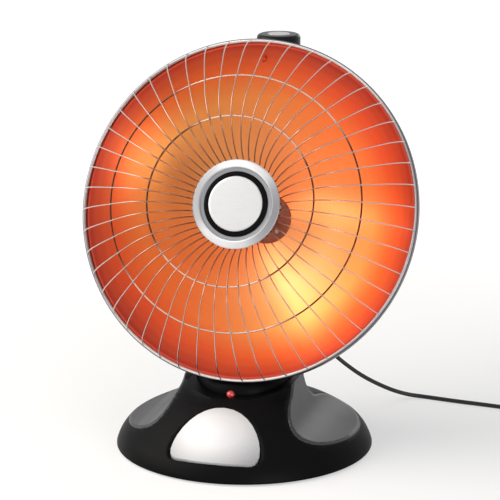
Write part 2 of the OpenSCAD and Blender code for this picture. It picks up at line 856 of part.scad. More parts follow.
// Everything under the saddle's curved top, which runs parallel to the rim
module saddle_below(gap)
    difference() {
        translate([-150, -150, 0]) cube([300, 300, 140]);
        translate([0, 0, head_z]) rotate([90, 0, 0])
            cylinder(r = saddle_r - gap, h = 400, center = true, $fn = 180);
    }

module saddle_bore(grow)
    translate([0, 0, head_z]) rotate([90, 0, 0])
        cylinder(r = saddle_r + grow, h = 400, center = true, $fn = 180);

module foot_body(inset, side_inset, bottom) {
    difference() {
        union() {
            half_turn(rear_profile(inset), bottom);
            rotate([0, 0, 180]) half_turn(front_profile(inset), bottom);
        }
        side_cutter(-1, side_inset);
        side_cutter(1, side_inset);
        saddle_bore(inset);
    }
}

boss_circle_r = foot_r - boss_inset;
boss_angles = [20, 90, 160, 232, 308];

module at_base_screws(z)
    for (a = boss_angles) rotate([0, 0, a]) translate([boss_circle_r, 0, z]) children();

module base_shell() {
    color(black) difference() {
        foot_body(0, panel_t + fit, edge_z);
        difference() {
            foot_body(base_t, panel_t + fit + base_t, edge_z - 1);
            for (a = boss_angles) rotate([0, 0, a])
                translate([boss_circle_r, 0, plate_z + plate_t + fit])
                    cylinder(r = 5, h = through, $fn = 48);
        }
        translate([0, 0, 40]) cylinder(r = column_r + fit, h = 100);
        badge_prism(1.1) badge_layer(-4, badge_t);
        at_lens() cylinder(r = lens_r + fit, h = 30, center = true);
        at_lens() translate([0, 0, -1]) cylinder(r = lens_r + lens_notch, h = 30);
        at_base_screws(0) cylinder(r = screw_r + 0.1, h = plate_z + plate_t + 12);
    }
}

module side_panel(side)
    color(grey) intersection() {
        foot_body(0, 0, edge_z);
        side_cutter(side, panel_t);
    }

module side_panel_left() side_panel(-1);
module side_panel_right() side_panel(1);

badge_top_pull = 35;

// Outline of the badge as seen from above, grown by grow
function badge_half(grow) = let (
        top = -badge_top + grow,
        low = badge_inset - foot_r - grow,
        wide = badge_half_w + grow,
        side = [wide, low + grow + 19],
        corner = [wide - 20, low + 4.6]
    )
    concat(
        bend3([0, top], [badge_top_pull, top], [wide - 1, top - grow - 25], side),
        tail(bend3(side, [wide, low + 10], [wide - 8, low + 7], corner, 5)),
        tail(bend2(corner, [22, low], [0, low], 4))
    );

module badge_prism(grow) {
    half = badge_half(grow);
    n = len(half) - 1;
    intersection() {
        linear_extrude(height = 140) polygon(concat(
            half, [for (i = [1:n - 1]) [-half[n - i][0], half[n - i][1]]]));
        children();
    }
}

module badge_layer(from_inset, to_inset)
    difference() {
        rotate([0, 0, 180]) half_turn(front_profile(from_inset), 0);
        rotate([0, 0, 180]) half_turn(front_profile(to_inset), -1);
    }

module badge_plate() {
    color(silver) badge_prism(0) badge_layer(-0.5, badge_t - fit - 0.1);
}

// The lens looks forwards and up out of the column, through a notch in the saddle
lens_at = [0, -column_r - 2.5, saddle_low_z + 2];
lens_lean = 60;
lens_notch = 1.8;

module at_lens() translate(lens_at) rotate([lens_lean, 0, 0]) children();

module indicator_lens() {
    color([0.75, 0.08, 0.05]) at_lens() difference() {
        union() {
            translate([0, 0, -6]) cylinder(r = lens_r, h = 8);
            intersection() {
                translate([0, 0, 2 - 3]) sphere(r = lens_r * 1.2);
                translate([0, 0, 1.5]) cylinder(r = lens_r, h = 10);
            }
        }
        translate([0, 0, -7]) cylinder(r = 3, h = 6);
    }
}

module indicator_lamp() {
    color([1, 0.6, 0.4]) at_lens() {
        translate([0, 0, -16]) cylinder(r = 2.6, h = 14, $fn = 32);
        translate([0, 0, -20]) cylinder(r = 2, h = 5, $fn = 32);
    }
}

column_foot_r = 74;
column_foot_t = 3;
column_base_z = plate_z + plate_t + fit;
// The column is drawn up into the head, which is then cut out of it
column_top_z = saddle_low_z + 104;

// Side of the column, drawn in above the saddle; moved in by inset
function column_side(inset) = let (d = [-inset, -inset / 2]) concat(
    bend2([column_r, saddle_low_z] + d, [column_r - 1, saddle_low_z + 12] + d,
        [column_r - 9, saddle_low_z + 18] + d, 6),
    [[column_r - 10, saddle_low_z + 26] + d]
);

module column_envelope(grow) {
    rotate_extrude() polygon(concat(
        [[0, 0], [column_foot_r + grow, 0],
            [column_foot_r + grow, column_base_z + column_foot_t],
            [column_r + grow, column_base_z + column_foot_t]],
        column_side(-grow),
        [[column_r - 10 + grow, column_top_z], [0, column_top_z]]
    ));
}

module neck_column() {
    inner = column_side(column_t);
    n = len(inner) - 1;
    color(black) difference() {
        rotate_extrude() polygon(concat(
            [[column_foot_r, column_base_z], [column_foot_r, column_base_z + column_foot_t],
                [column_r, column_base_z + column_foot_t]],
            column_side(0),
            [[column_r - 10, column_top_z], [column_r - 10 - column_t, column_top_z]],
            [for (i = [0:n]) inner[n - i]],
            [[column_r - column_t, column_base_z]]
        ));
        head_room();
        at_lens() cylinder(r = lens_r + fit, h = through, center = true);
        at_column_screws(0) cylinder(r = screw_hole_r, h = 30);
    }
}

module at_column_screws(z)
    for (a = [45:90:315]) rotate([0, 0, a]) translate([column_r + 5, 0, z]) children();

module column_screws() {
    color(steel) at_column_screws(column_base_z + column_foot_t + fit)
        screw(screw_r, column_foot_t + plate_t + 2);
}

// ---------------------------------------------------------------- bottom plate and feet

pad_angles = [45:90:315];
plunger_at = [0, 0];
sleeve_top = plate_z + plate_t + 7;

module bottom_plate() {
    color(steel) difference() {
        union() {
            translate([0, 0, plate_z]) cylinder(r = plate_r, h = plate_t);
            translate([plunger_at[0], plunger_at[1], plate_z])
                cylinder(r = plunger_r + 4, h = sleeve_top - plate_z);
        }
        translate([plunger_at[0], plunger_at[1], -1]) cylinder(r = plunger_r + run, h = through);
        at_column_screws(-1) cylinder(r = screw_hole_r, h = 30);
        at_base_screws(-1) cylinder(r = screw_hole_r, h = 30);
        for (a = pad_angles) rotate([0, 0, a]) translate([pad_circle_r, 0, -1])
            cylinder(r = 4 + fit, h = 30);
    }
}

module base_screws() {
    color(steel) at_base_screws(plate_z - fit) mirror([0, 0, 1]) screw(screw_r, plate_t + 10);
}

module rubber_feet() {
    color([0.15, 0.15, 0.15])
        for (a = pad_angles) rotate([0, 0, a]) translate([pad_circle_r, 0, 0]) {
            cylinder(r1 = pad_r - 1, r2 = pad_r, h = pad_h);
            cylinder(r = 4, h = plate_z + plate_t + 1);
            translate([0, 0, plate_z + plate_t + fit]) cylinder(r1 = 5.4, r2 = 3.6, h = 3);
        }
}

// ---------------------------------------------------------------- tip-over switch

collar_z = 20;
collar_t = 2;
bridge_z = 38;
bridge_t = 2;
bridge_half = 13;
switch_z = bridge_z + bridge_t + fit;

module at_plunger(z) translate([plunger_at[0], plunger_at[1], z]) children();

module tip_plunger() {
    color([0.9, 0.9, 0.85]) at_plunger(0) rotate_extrude($fn = 48) polygon([
        [0, 0], [plunger_r - 1, 0], [plunger_r, 1], [plunger_r, collar_z],
        [plunger_collar_r, collar_z], [plunger_collar_r, collar_z + collar_t],
        [plunger_r - 0.6, collar_z + collar_t], [plunger_r - 0.6, bridge_z + bridge_t + 3.5],
        [0, bridge_z + bridge_t + 3.5]
    ]);
}

// Spring between the plunger's collar and the bridge
spring_low = collar_z + collar_t + fit;
spring_high = bridge_z - fit;
spring_rings = 8;
spring_path = [for (i = [0:spring_rings * spring_turns])
    let (turn = i / spring_rings)
    [spring_r * cos(360 * turn), spring_r * sin(360 * turn),
        spring_low + spring_wire_r
            + (spring_high - spring_low - 2 * spring_wire_r) * turn / spring_turns]];

module plunger_spring() {
    color(silver) at_plunger(0) ring_tube([for (i = [0:len(spring_path) - 1])
        ring_at(spring_path[i], heading(spring_path, i),
            winding_side(spring_path[i]), spring_wire_r, 6)]);
}

module switch_bracket() {
    floor_z = plate_z + plate_t + fit;
    color(steel) at_plunger(0) difference() {
        union() {
            translate([-bridge_half, -9, bridge_z]) cube([2 * bridge_half, 18, bridge_t]);
            for (side = [-1, 1])
                translate([side * (bridge_half - 1) - 1, -9, floor_z])
                    cube([2, 18, bridge_z - floor_z + lap]);
            for (side = [-1, 1])
                translate([side * (bridge_half + 3) - 4, -9, floor_z]) cube([8, 18, 2]);
        }
        cylinder(r = plunger_r, h = through);
    }
}

module tip_switch() {
    color([0.12, 0.12, 0.14]) at_plunger(switch_z) difference() {
        translate([-11, -6, 0]) cube([22, 12, 16]);
        translate([0, 0, -1]) cylinder(r = plunger_r + 0.6, h = 6);
    }
}

module buzzer() {
    color([0.1, 0.1, 0.1]) translate([-26, 20, plate_z + plate_t + fit]) difference() {
        cylinder(r = 12, h = 9);
        translate([0, 0, 7]) cylinder(r = 1.5, h = 5);
    }
}

module terminal_block() {
    color([0.9, 0.9, 0.85]) translate([10, 30, plate_z + plate_t + fit]) difference() {
        translate([-18, -8, 0]) cube([36, 16, 14]);
        for (x = [-12, 0, 12]) translate([x, 0, 8]) cylinder(r = 3, h = 10, $fn = 32);
    }
}

// ---------------------------------------------------------------- power cord

relief_angle = -30;
relief_x = 6;
relief_neck_r = 6;
relief_out = spine_d / 2;

module at_relief(out) at_spine(relief_angle, relief_x, relief_out + out) children();

relief_dir = [0, cos(relief_angle), sin(relief_angle)];
relief_root = [relief_x, arc_y, pod_z] + (spine_bend + relief_out) * relief_dir;
cord_start = relief_root + relief_l * relief_dir;

module strain_relief() {
    color(black) at_relief(0) difference() {
        union() {
            translate([0, 0, -4]) cylinder(r = relief_neck_r, h = 5);
            translate([0, 0, -6]) cylinder(r = relief_neck_r + 2, h = 3);
            translate([0, 0, fit]) cylinder(r = relief_neck_r + 2, h = 3);
            translate([0, 0, 3]) cylinder(r1 = relief_neck_r + 1, r2 = cord_r + 0.8, h = relief_l - 3);
        }
        translate([0, 0, -10]) cylinder(r = cord_r - 0.4, h = through, $fn = 32);
    }
}

// Route of the cord from the strain relief to its coil
cord_points = [
    cord_start,
    cord_start + 12 * relief_dir,
    [10.5, 168, 107.5], [20.5, 178.5, 101.5], [35, 184.5, 95.5], [54.5, 187, 87],
    [75, 188.5, 76.3], [94, 191, 61], [112, 200, 45], [128, 211, 32], [144, 222, 21],
    [160, 232, 12], [178, 240, 5.6], [199, 243, 3.3], [222, 239.5, 3.2], [250, 235, 3.2],
    [283, 231, 3.2], [312, 227, 3.2], [342, 221.5, 3.6], [368, 218, 4.2]
];
coil_centre = [390, 262];
layer_step = 2 * cord_r + 0.6;
coil_z = cord_r + tie_t + 2 * fit;
coil_in_r = coil_outer_r - coil_step * (coil_turns + 0.25);
coil_rings = 24;

// One place on the coil, counted in turns from the point where the spiral turns back
function coil_point(phi) = let (
        r = coil_in_r + coil_step * abs(phi),
        climb = min(1, max(0, 2 * phi + 0.5)),
        a = -90 + 360 * (phi + coil_turns + 0.25)
    )
    [coil_centre[0] + r * cos(a), coil_centre[1] + r * sin(a), coil_z + layer_step * climb];

coil_half = coil_turns + 0.25;
coil_path = [for (i = [0:2 * coil_half * coil_rings]) coil_point(-coil_half + i / coil_rings)];
coil_end = coil_path[len(coil_path) - 1];

// Least distance between the surfaces of strands that lie at least skip points apart
function least_gap(path, r, skip) = min([
    for (i = [0:len(path) - 1], j = [i + skip:1:len(path) - 1]) norm(path[i] - path[j])
]) - 2 * r;

echo(str("cord coil: least gap ", least_gap(coil_path, cord_r, 12), " mm"));
echo(str("element winding: least gap ", least_gap(winding_path, winding_wire_r, 12), " mm"));
echo(str("plunger spring: least gap ", least_gap(spring_path, spring_wire_r, 4), " mm"));

cord_curve = through(concat(cord_points, [coil_path[0]]), 4);

module power_cord() {
    last = len(cord_curve) - 1;
    color(black) ring_tube([for (i = [0:last])
        ring_at(cord_curve[i],
            i == 0 ? relief_dir : i == last ? [1, 0, 0] : heading(cord_curve, i),
            [0, 0, 1], cord_r, 8)]);
}

module cord_coil() {
    last = len(coil_path) - 1;
    color(black) ring_tube([for (i = [0:last])
        ring_at(coil_path[i],
            i == 0 ? [1, 0, 0] : i == last ? [-1, 0, 0] : heading(coil_path, i),
            [0, 0, 1], cord_r, 6)]);
}

// Strap round the strands on the right of the coil
module cord_tie() {
    from = coil_in_r - cord_r - fit;
    to = coil_in_r + coil_turns * coil_step + cord_r + fit;
    top = coil_z + layer_step + cord_r + fit;
    color(black) translate([coil_centre[0], coil_centre[1], 0]) difference() {
        translate([from - tie_t, -tie_w / 2, fit]) cube([to - from + 2 * tie_t, tie_w, top + tie_t - fit]);
        translate([from, -tie_w, fit + tie_t]) cube([to - from, 2 * tie_w, top - fit - tie_t]);
    }
}

plug_relief_l = 20;
plug_half_h = coil_end[2] - fit;

module at_plug(x) translate(coil_end + [-x, 0, 0]) rotate([0, 0, 180]) children();

// Outline of the plug: a waist at the cord end, swelling to its full size
function plug_outline(half) = concat(
    bend3([0, half * 0.45], [plug_l * 0.3, half * 0.5], [plug_l * 0.3, half], [plug_l * 0.62, half]),
    [[plug_l - 1, half], [plug_l, half - 1], [plug_l, -half + 1], [plug_l - 1, -half]],
    bend3([plug_l * 0.62, -half], [plug_l * 0.3, -half], [plug_l * 0.3, -half * 0.5], [0, -half * 0.45])
);

module plug_body() {
    color(black) {
        at_plug(plug_relief_l - lap) intersection() {
            translate([0, 0, -plug_half_h])
                linear_extrude(height = 2 * plug_half_h) polygon(plug_outline(plug_w / 2));
            rotate([90, 0, 0])
                linear_extrude(height = 2 * plug_w, center = true)
                    polygon(plug_outline(plug_half_h));
        }
        at_plug(fit / 2) rotate([0, 90, 0])
            cylinder(r1 = cord_r + 0.8, r2 = plug_half_h * 0.48, h = plug_relief_l);
    }
}

blade_l = 17;
blade_gap = 12.7;

module plug_blades() {
    color(silver) at_plug(plug_relief_l + plug_l - lap + fit / 2)
        for (side = [-1, 1]) difference() {
            translate([0, side * blade_gap / 2 - 0.75, -3.15]) cube([blade_l, 1.5, 6.3]);
            translate([blade_l - 4, side * blade_gap / 2, 0]) rotate([90, 0, 0])
                cylinder(r = 1.5, h = 4, center = true, $fn = 24);
        }
}

reflector();
rim_channel();
back_shell();
guard_wires();
guard_outer_ring();
guard_inner_ring();
cap_dish();
cap_backing();
cap_trim_ring();
cap_disc();
vertex_plate();
vertex_plate_screws();
element_stem();
element_core();
element_winding();
element_front_plate();
dish_screws();
standoff_ring();
thermal_cutoff();
head_screws();
spine_housing();
spine_cover();
spine_cover_screws();
pod_housing();
thermostat();
thermostat_nut();
thermostat_shaft();
knob();
knob_inlay();
wiring_harness();
base_shell();
side_panel_left();
side_panel_right();
badge_plate();
indicator_lens();
indicator_lamp();
neck_column();
column_screws();
bottom_plate();
base_screws();
rubber_feet();
switch_bracket();
tip_switch();
tip_plunger();
plunger_spring();
buzzer();
terminal_block();
strain_relief();
power_cord();
cord_coil();
cord_tie();
plug_body();
plug_blades();
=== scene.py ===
# %% [markdown]
# # Dressing a dish heater
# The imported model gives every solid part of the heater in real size. This script keeps that
# frame, looks at it through the photograph's camera, and gives each part the shape and finish
# that the eye expects: spun copper, bright wire, brushed metal and moulded plastic.
# Everything is in metres, with z up, the dish facing -y and the origin on the floor.

# %% The frame
import math
from functools import partialmethod

import bmesh
import bpy
from mathutils import Matrix, Vector


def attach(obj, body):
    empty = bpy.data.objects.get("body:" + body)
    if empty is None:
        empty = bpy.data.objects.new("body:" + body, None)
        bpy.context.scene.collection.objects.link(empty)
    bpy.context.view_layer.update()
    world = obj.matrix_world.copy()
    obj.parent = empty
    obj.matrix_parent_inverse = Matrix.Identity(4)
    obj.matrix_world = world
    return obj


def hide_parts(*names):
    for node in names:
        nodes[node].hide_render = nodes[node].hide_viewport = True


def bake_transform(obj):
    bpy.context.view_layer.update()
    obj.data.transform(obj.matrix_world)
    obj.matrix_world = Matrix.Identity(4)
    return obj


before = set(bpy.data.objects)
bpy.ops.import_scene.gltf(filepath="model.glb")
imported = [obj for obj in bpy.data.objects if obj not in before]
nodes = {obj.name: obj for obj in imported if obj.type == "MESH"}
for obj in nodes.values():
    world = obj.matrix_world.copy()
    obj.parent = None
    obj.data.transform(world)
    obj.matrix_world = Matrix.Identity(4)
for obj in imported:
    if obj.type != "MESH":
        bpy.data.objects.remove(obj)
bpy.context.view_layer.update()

# %% [markdown]
# The camera comes first, because the cord is judged by what it sees. Its place and axes were
# worked out from the heater's round edges, so they are written here as numbers. The lens is
# long, as in most catalogue pictures, so there is almost no perspective.

# %% Camera
CAMERA_AT = Vector((0.75123, -2.69734, 1.00040))
CAMERA_LOOK = Vector((-0.25704904, 0.93270091, -0.25297195))
CAMERA_UP = Vector((-0.06721237, 0.24387970, 0.96747361))
SENSOR_MM, LENS_MM, SIGHT = 36, 157.16, 50

scene = bpy.context.scene


def new_object(name, data):
    """An object in the scene, at the origin."""
    made = bpy.data.objects.new(name, data)
    scene.collection.objects.link(made)
    return made


camera = new_object("camera", bpy.data.cameras.new("camera"))
camera.data.sensor_width = SENSOR_MM
camera.data.lens = LENS_MM
camera.data.clip_end = SIGHT
turn = Matrix((CAMERA_LOOK.cross(CAMERA_UP), CAMERA_UP, -CAMERA_LOOK)).transposed()
camera.matrix_world = Matrix.Translation(CAMERA_AT) @ turn.to_4x4()
scene.camera = camera
scene.view_settings.view_transform = "Standard"
print("camera lens", camera.data.lens)

# %% [markdown]
# A node tree is easier to read as a sum than as a chain of boxes. The class Signal wraps one
# output socket, and its operators add Math nodes, so that a finish can be written as
# 0.3 + 0.1 * grain. The class Tree adds any other node in one call.

# %% Nodes as expressions
class Signal:
    """One output of a node; arithmetic on it adds Math nodes to the same tree."""

    def __init__(self, socket):
        self.socket = socket

    def other(self, name):
        return Signal(self.socket.node.outputs[name])

    def math(self, operation, *others):
        values = dict(enumerate((self, *others)))
        tree = Tree(self.socket.id_data)
        return tree.node("ShaderNodeMath", values, {"operation": operation})

    def __rsub__(self, value):
        return -1 * self + value

    # In these lines math is the method above, not the module.
    __add__ = __radd__ = partialmethod(math, "ADD")
    __mul__ = __rmul__ = partialmethod(math, "MULTIPLY")
    __sub__ = partialmethod(math, "SUBTRACT")
    __truediv__ = partialmethod(math, "DIVIDE")
    __pow__ = partialmethod(math, "POWER")


class Tree:
    """A node tree in which one call adds a node, sets it and links it."""

    def __init__(self, tree):
        self.tree = tree

    def node(self, kind, inputs=None, settings=None, out=0):
        made = self.tree.nodes.new(kind)
        for key, value in (settings or {}).items():
            setattr(made, key, value)
        for key, value in (inputs or {}).items():
            if isinstance(value, Signal):
                self.tree.links.new(value.socket, made.inputs[key])
            else:
                made.inputs[key].default_value = value
        return Signal(made.outputs[out]) if len(made.outputs) else made

    def smooth_step(self, value, start, end):
        """Eases from end[0] to end[1] while the value goes from start[0] to start[1]."""
        limits = {"From Min": start[0], "From Max": start[1], "To Min": end[0], "To Max": end[1]}
        return self.node(
            "ShaderNodeMapRange", {"Value": value, **limits}, {"interpolation_type": "SMOOTHSTEP"}
        )


def cleared(owner):
    """The node tree of a world or a material, without the nodes that it starts with."""
    owner.use_nodes = True
    owner.node_tree.nodes.clear()
    return owner.node_tree


def paint(red, green, blue):
    """A colour given in steps of 0 to 255, in the linear values that shaders use."""
    steps = [channel / 255 for channel in (red, green, blue)]
    return (*[((c + 0.055) / 1.055) ** 2.4 if c > 0.04 else c / 12.92 for c in steps], 1.0)


print("signal and tree ready; mid grey is", round(paint(128, 128, 128)[0], 3))

# %% [markdown]
# The studio is a pale floor under a pale sky. Rays that reach the camera straight find both
# white. Metal and gloss see a sky that is a little brighter in front than behind. Soft light is
# dimmer, so that colours render about as they are written. A large lamp on the left gives the
# yellow gleam in the right half of the dish, and a low one on the right the weaker one opposite.
# The lamp above has no mirror image, and the one behind draws the gleam on the side panels.

# %% Studio
SKY_SEEN = 1.0
SKY_FRONT = 1.15
SKY_BACK = 0.85
SKY_SOFT = 0.3
SKY_TURN = (-0.7, 0.35)


def facing(at, way, axis):
    """A place, turned so that one axis looks along a way."""
    return Matrix.Translation(at) @ way.to_track_quat(axis, "Y").to_matrix().to_4x4()


def lamp(name, at, aim, wide, high, watts, tint=(1, 1, 1)):
    """A soft lamp with a flat front that looks at a point."""
    light = bpy.data.lights.new(name, "AREA")
    light.shape = "RECTANGLE"
    light.size, light.size_y = wide, high
    light.energy = watts
    light.color = tint
    made = new_object(name, light)
    made.matrix_world = facing(at, Vector(aim) - Vector(at), "-Z")
    return made


world = bpy.data.worlds.new("studio_sky")
scene.world = world
sky = Tree(cleared(world))
ray = sky.node("ShaderNodeLightPath")
seen = ray.other("Is Camera Ray")
mirrored = ray.other("Is Glossy Ray").math("MAXIMUM", ray.other("Is Transmission Ray"))
way = sky.node("ShaderNodeTexCoord", out="Generated")
depth = sky.node("ShaderNodeSeparateXYZ", {"Vector": way}).other("Y")
behind = sky.smooth_step(depth, SKY_TURN, (SKY_FRONT, SKY_BACK))
level = seen * SKY_SEEN + (1 - seen) * (mirrored * behind + (1 - mirrored) * SKY_SOFT)
shine = sky.node("ShaderNodeBackground", {"Color": (1, 1, 1, 1), "Strength": level})
sky.node("ShaderNodeOutputWorld", {"Surface": shine})

HEART = (0, 0, 0.3)
WARM = (1.0, 0.96, 0.88)
lamp("key_lamp", (-2.00, -0.80, 1.72), HEART, 2.9, 2.3, 86, WARM)
lamp("low_lamp", (1.50, -1.90, 0.42), HEART, 1.0, 0.8, 20)
top = lamp("top_lamp", (0.3, -0.6, 2.6), (0, 0, 0.1), 1.6, 1.6, 7)
top.visible_glossy = False
edge = lamp("edge_lamp", (0.50, 2.00, 0.90), (0.1, 0, 0.06), 1.0, 0.5, 3.5)
edge.visible_camera = False

# %% [markdown]
# The floor is half grey, so that it keeps the soft shadow, and half its own glow, which grows
# with the distance until floor and sky are one.

# %% Floor
FLOOR_HALF = 12
FLOOR_GREY = 0.5
FLOOR_FADE = (0.3, 2.2)
FLOOR_GLOW = (0.5, 0.85)

corners = [(x * FLOOR_HALF, y * FLOOR_HALF, 0) for x, y in ((-1, -1), (1, -1), (1, 1), (-1, 1))]
floor_mesh = bpy.data.meshes.new("floor")
floor_mesh.from_pydata(corners, [], [(0, 1, 2, 3)])
floor = new_object("floor", floor_mesh)
floor_paint = bpy.data.materials.new("pale_floor")
ground = Tree(cleared(floor_paint))
ray = ground.node("ShaderNodeLightPath")
straight = ray.other("Is Camera Ray").math("MAXIMUM", ray.other("Is Glossy Ray"))
matt = ground.node("ShaderNodeBsdfDiffuse", {"Color": (*[FLOOR_GREY] * 3, 1)})
spot = ground.node("ShaderNodeTexCoord", out="Object")
reach = ground.node("ShaderNodeVectorMath", {0: spot}, {"operation": "LENGTH"}, out="Value")
far = ground.smooth_step(reach, FLOOR_FADE, FLOOR_GLOW)
glow = ground.node("ShaderNodeEmission", {"Color": (1, 1, 1, 1), "Strength": straight * far})
both = ground.node("ShaderNodeAddShader", {0: matt, 1: glow})
ground.node("ShaderNodeOutputMaterial", {"Surface": both})
floor_mesh.materials.append(floor_paint)
print("floor", floor.name)

# %% [markdown]
# A finish is a material built on one principled shader. The class Finish adds what the metals
# and plastics here share: object coordinates, the head's own axes, noise, a colour mix, a
# colour ramp and a bump. What changes over a surface goes to colour, roughness and normal
# alone, and a value that stays the same is set on the shader itself.

# %% The class Finish
HEAD_AT = Vector((0, 0.015, 0.320))
HEAD_TURN = math.radians(70)
HEAD = Matrix.Translation(HEAD_AT) @ Matrix.Rotation(HEAD_TURN, 4, "X")
SIDE_TILT = math.radians(13)


class Finish(Tree):
    """A material with one principled shader; its slot argument is not used."""

    def __init__(self, name, slot=None):
        self.material = bpy.data.materials.new(name)
        super().__init__(cleared(self.material))
        self.place = self.node("ShaderNodeTexCoord", out="Object")

    def axes(self, place=None):
        """The three coordinates as signals, or those of a turned place."""
        parts = self.node("ShaderNodeSeparateXYZ", {"Vector": place or self.place})
        return parts.other("X"), parts.other("Y"), parts.other("Z")

    def mapped(self, kind, **where):
        inputs = {"Vector": self.place, **where}
        return self.node("ShaderNodeMapping", inputs, {"vector_type": kind})

    def on_head(self):
        """The head's own x and y across the dish, and z out of it."""
        place = self.mapped("TEXTURE", Location=HEAD_AT, Rotation=(HEAD_TURN, 0, 0))
        return self.axes(place)

    def off_axis(self):
        """The distance from the dish axis."""
        x, y, _ = self.on_head()
        return (x * x + y * y) ** 0.5

    def sideways(self):
        """Where a place lies about the dish axis: 0 above and below, 1 at the sides."""
        x, y, _ = self.on_head()
        lean = x * math.cos(SIDE_TILT) - y * math.sin(SIDE_TILT)
        return lean.math("ABSOLUTE") / self.off_axis()

    def line_noise(self, along, scale, detail=2.0):
        """Noise that changes along one signal only."""
        inputs = {"W": along, "Scale": scale, "Detail": detail}
        return self.node("ShaderNodeTexNoise", inputs, {"noise_dimensions": "1D"})

    def noise(self, scale, detail=3.0, place=None):
        inputs = {"Vector": place or self.place, "Scale": scale, "Detail": detail}
        return self.node("ShaderNodeTexNoise", inputs)

    def brushed(self, along, across):
        """Noise drawn out into fine lines along x."""
        return self.noise(1.0, 3.0, self.mapped("POINT", Scale=(along, across, across)))

    def mix(self, part, first, second):
        inputs = {0: part, 6: first, 7: second}
        return self.node("ShaderNodeMix", inputs, {"data_type": "RGBA"}, out=2)

    def ramp(self, along, *stops):
        """A colour for each place along a signal; a stop is a place and three steps."""
        made = self.node("ShaderNodeValToRGB", {"Fac": along})
        elements = made.socket.node.color_ramp.elements
        while len(elements) < len(stops):
            elements.new(1)
        for element, (place, *steps) in zip(elements, stops):
            element.position = place
            element.color = paint(*steps)
        return made

    def bump(self, height, depth, strength=1.0):
        inputs = {"Height": height, "Distance": depth, "Strength": strength}
        return self.node("ShaderNodeBump", inputs, out="Normal")

    def surface(self, **values):
        """Sets the principled shader's sockets and returns the finished material."""
        names = {k.replace("_", " ").title().replace("Ior", "IOR"): v for k, v in values.items()}
        shader = self.node("ShaderNodeBsdfPrincipled", names)
        self.node("ShaderNodeOutputMaterial", {"Surface": shader})
        return self.material


print("head axis leans", 90 - math.degrees(HEAD_TURN), "degrees back")

# %% [markdown]
# The mouldings are glossy black plastic. Plain black looks like a hole, so the colour wavers a
# little, the gloss is broken by faint smears, and a fine bump keeps highlights from being
# perfect. One function makes every moulded finish, with its colour, gloss and grain.

# %% Moulded plastics
def moulded(name, shade, gloss, grain_depth=0.00004, grain_scale=900.0, waver=0.12, level=0.35):
    finish = Finish(name)
    broad = finish.noise(9.0, 4.0)
    darker = tuple(c * (1 - waver) for c in shade[:3]) + (1.0,)
    lighter = tuple(c * (1 + waver) for c in shade[:3]) + (1.0,)
    return finish.surface(
        base_color=finish.mix(broad, darker, lighter),
        roughness=gloss - 0.05 + 0.1 * finish.noise(24.0, 3.0),
        specular_ior_level=level,
        normal=finish.bump(finish.noise(grain_scale, 2.0), grain_depth, 0.6),
    )


black_plastic = moulded("black_gloss_plastic", paint(12, 12, 13), 0.42, level=0.04)
knob_plastic = moulded("knob_black", paint(20, 20, 22), 0.3, level=0.12)
grey_plastic = moulded("grey_plastic", paint(50, 51, 53), 0.4, 0.00007, 700.0, 0.05, 0.35)
rubber = moulded("rubber", paint(38, 38, 38), 0.72, 0.00012, 500.0)
cord_plastic = moulded("cord_black", paint(34, 34, 35), 0.46, 0.00006, 800.0)
switch_plastic = moulded("switch_black", paint(40, 40, 44), 0.5)
insulator = moulded("insulator", paint(226, 214, 188), 0.5, 0.00006, 600.0, 0.05)
wire_sleeve = moulded("wire_red", paint(190, 40, 34), 0.4)
print("plastics", black_plastic.name, grey_plastic.name)

# %% [markdown]
# Steel, wire and trim are metals. Their colour is what they reflect, so the shader is fully
# metallic, and roughness and a fine bump decide how sharp that reflection is.

# %% Plain metals
def metal(name, shade, gloss, tarnish=0.08):
    finish = Finish(name)
    broad = finish.noise(60.0, 3.0)
    dull = tuple(c * (1 - tarnish) for c in shade[:3]) + (1.0,)
    return finish.surface(
        base_color=finish.mix(broad, dull, shade),
        metallic=1.0,
        roughness=gloss - 0.04 + 0.08 * finish.noise(180.0, 3.0),
        normal=finish.bump(finish.noise(700.0, 2.0), 0.00002, 0.5),
    )


steel = metal("steel", paint(178, 180, 184), 0.34)
brass = metal("brass", paint(205, 176, 112), 0.28)
rust_screw = metal("screw_copper", paint(176, 70, 44), 0.4, tarnish=0.3)
knob_bright = metal("knob_bright", paint(196, 196, 199), 0.26)
print("metals", steel.name, brass.name)

# %% [markdown]
# The dish is spun from sheet and coloured copper. Spinning leaves fine rings, and rings turn a
# highlight into a bow tie across the dish. The rings are noise along the radius, used as bump and
# as roughness. The colour is painted darker and redder towards the rim, a painted shade for light
# that bounces twice in a bowl and gets redder. A second ramp along the radius paints a yellow
# highlight, and the angle mixes the two ramps along one diagonal of the dish.

# %% Spun copper
DISH_RADIUS = 0.222

finish = Finish("copper_reflector")
x, y, _ = finish.on_head()
radius = finish.off_axis()
rings = finish.line_noise(radius, 1400.0, 3.0)
wide_rings = finish.line_noise(radius, 120.0, 2.0)
reach = radius / DISH_RADIUS + 0.05 * (finish.noise(14.0, 2.0) - 0.5)
# This ramp is the copper's colour, with a painted shade that darkens it to red at the rim.
rim_shaded_copper = finish.ramp(
    reach, (0.0, 252, 142, 80), (0.45, 252, 132, 60), (0.72, 250, 116, 40),
    (0.88, 232, 76, 24), (1.0, 172, 38, 16),
)
# This ramp paints a yellow highlight over the same colours.
painted_gleam_copper = finish.ramp(
    reach, (0.0, 252, 158, 94), (0.45, 252, 182, 112), (0.72, 252, 172, 86),
    (0.88, 242, 108, 36), (1.0, 190, 46, 20),
)
# The painted highlight is mixed in along one diagonal of the dish.
gleam_slope = (x - y) / (radius * math.sqrt(2))
tone = finish.mix(gleam_slope * gleam_slope, rim_shaded_copper, painted_gleam_copper)
streak = finish.mix(0.10 * wide_rings, tone, paint(250, 170, 110))
copper = finish.surface(
    base_color=streak,
    metallic=0.84,
    roughness=0.29 + 0.07 * rings,
    coat_weight=0.35,
    coat_roughness=0.30,
    coat_ior=1.6,
    normal=finish.bump(rings, 0.00006, 0.5),
)
print("copper ready")
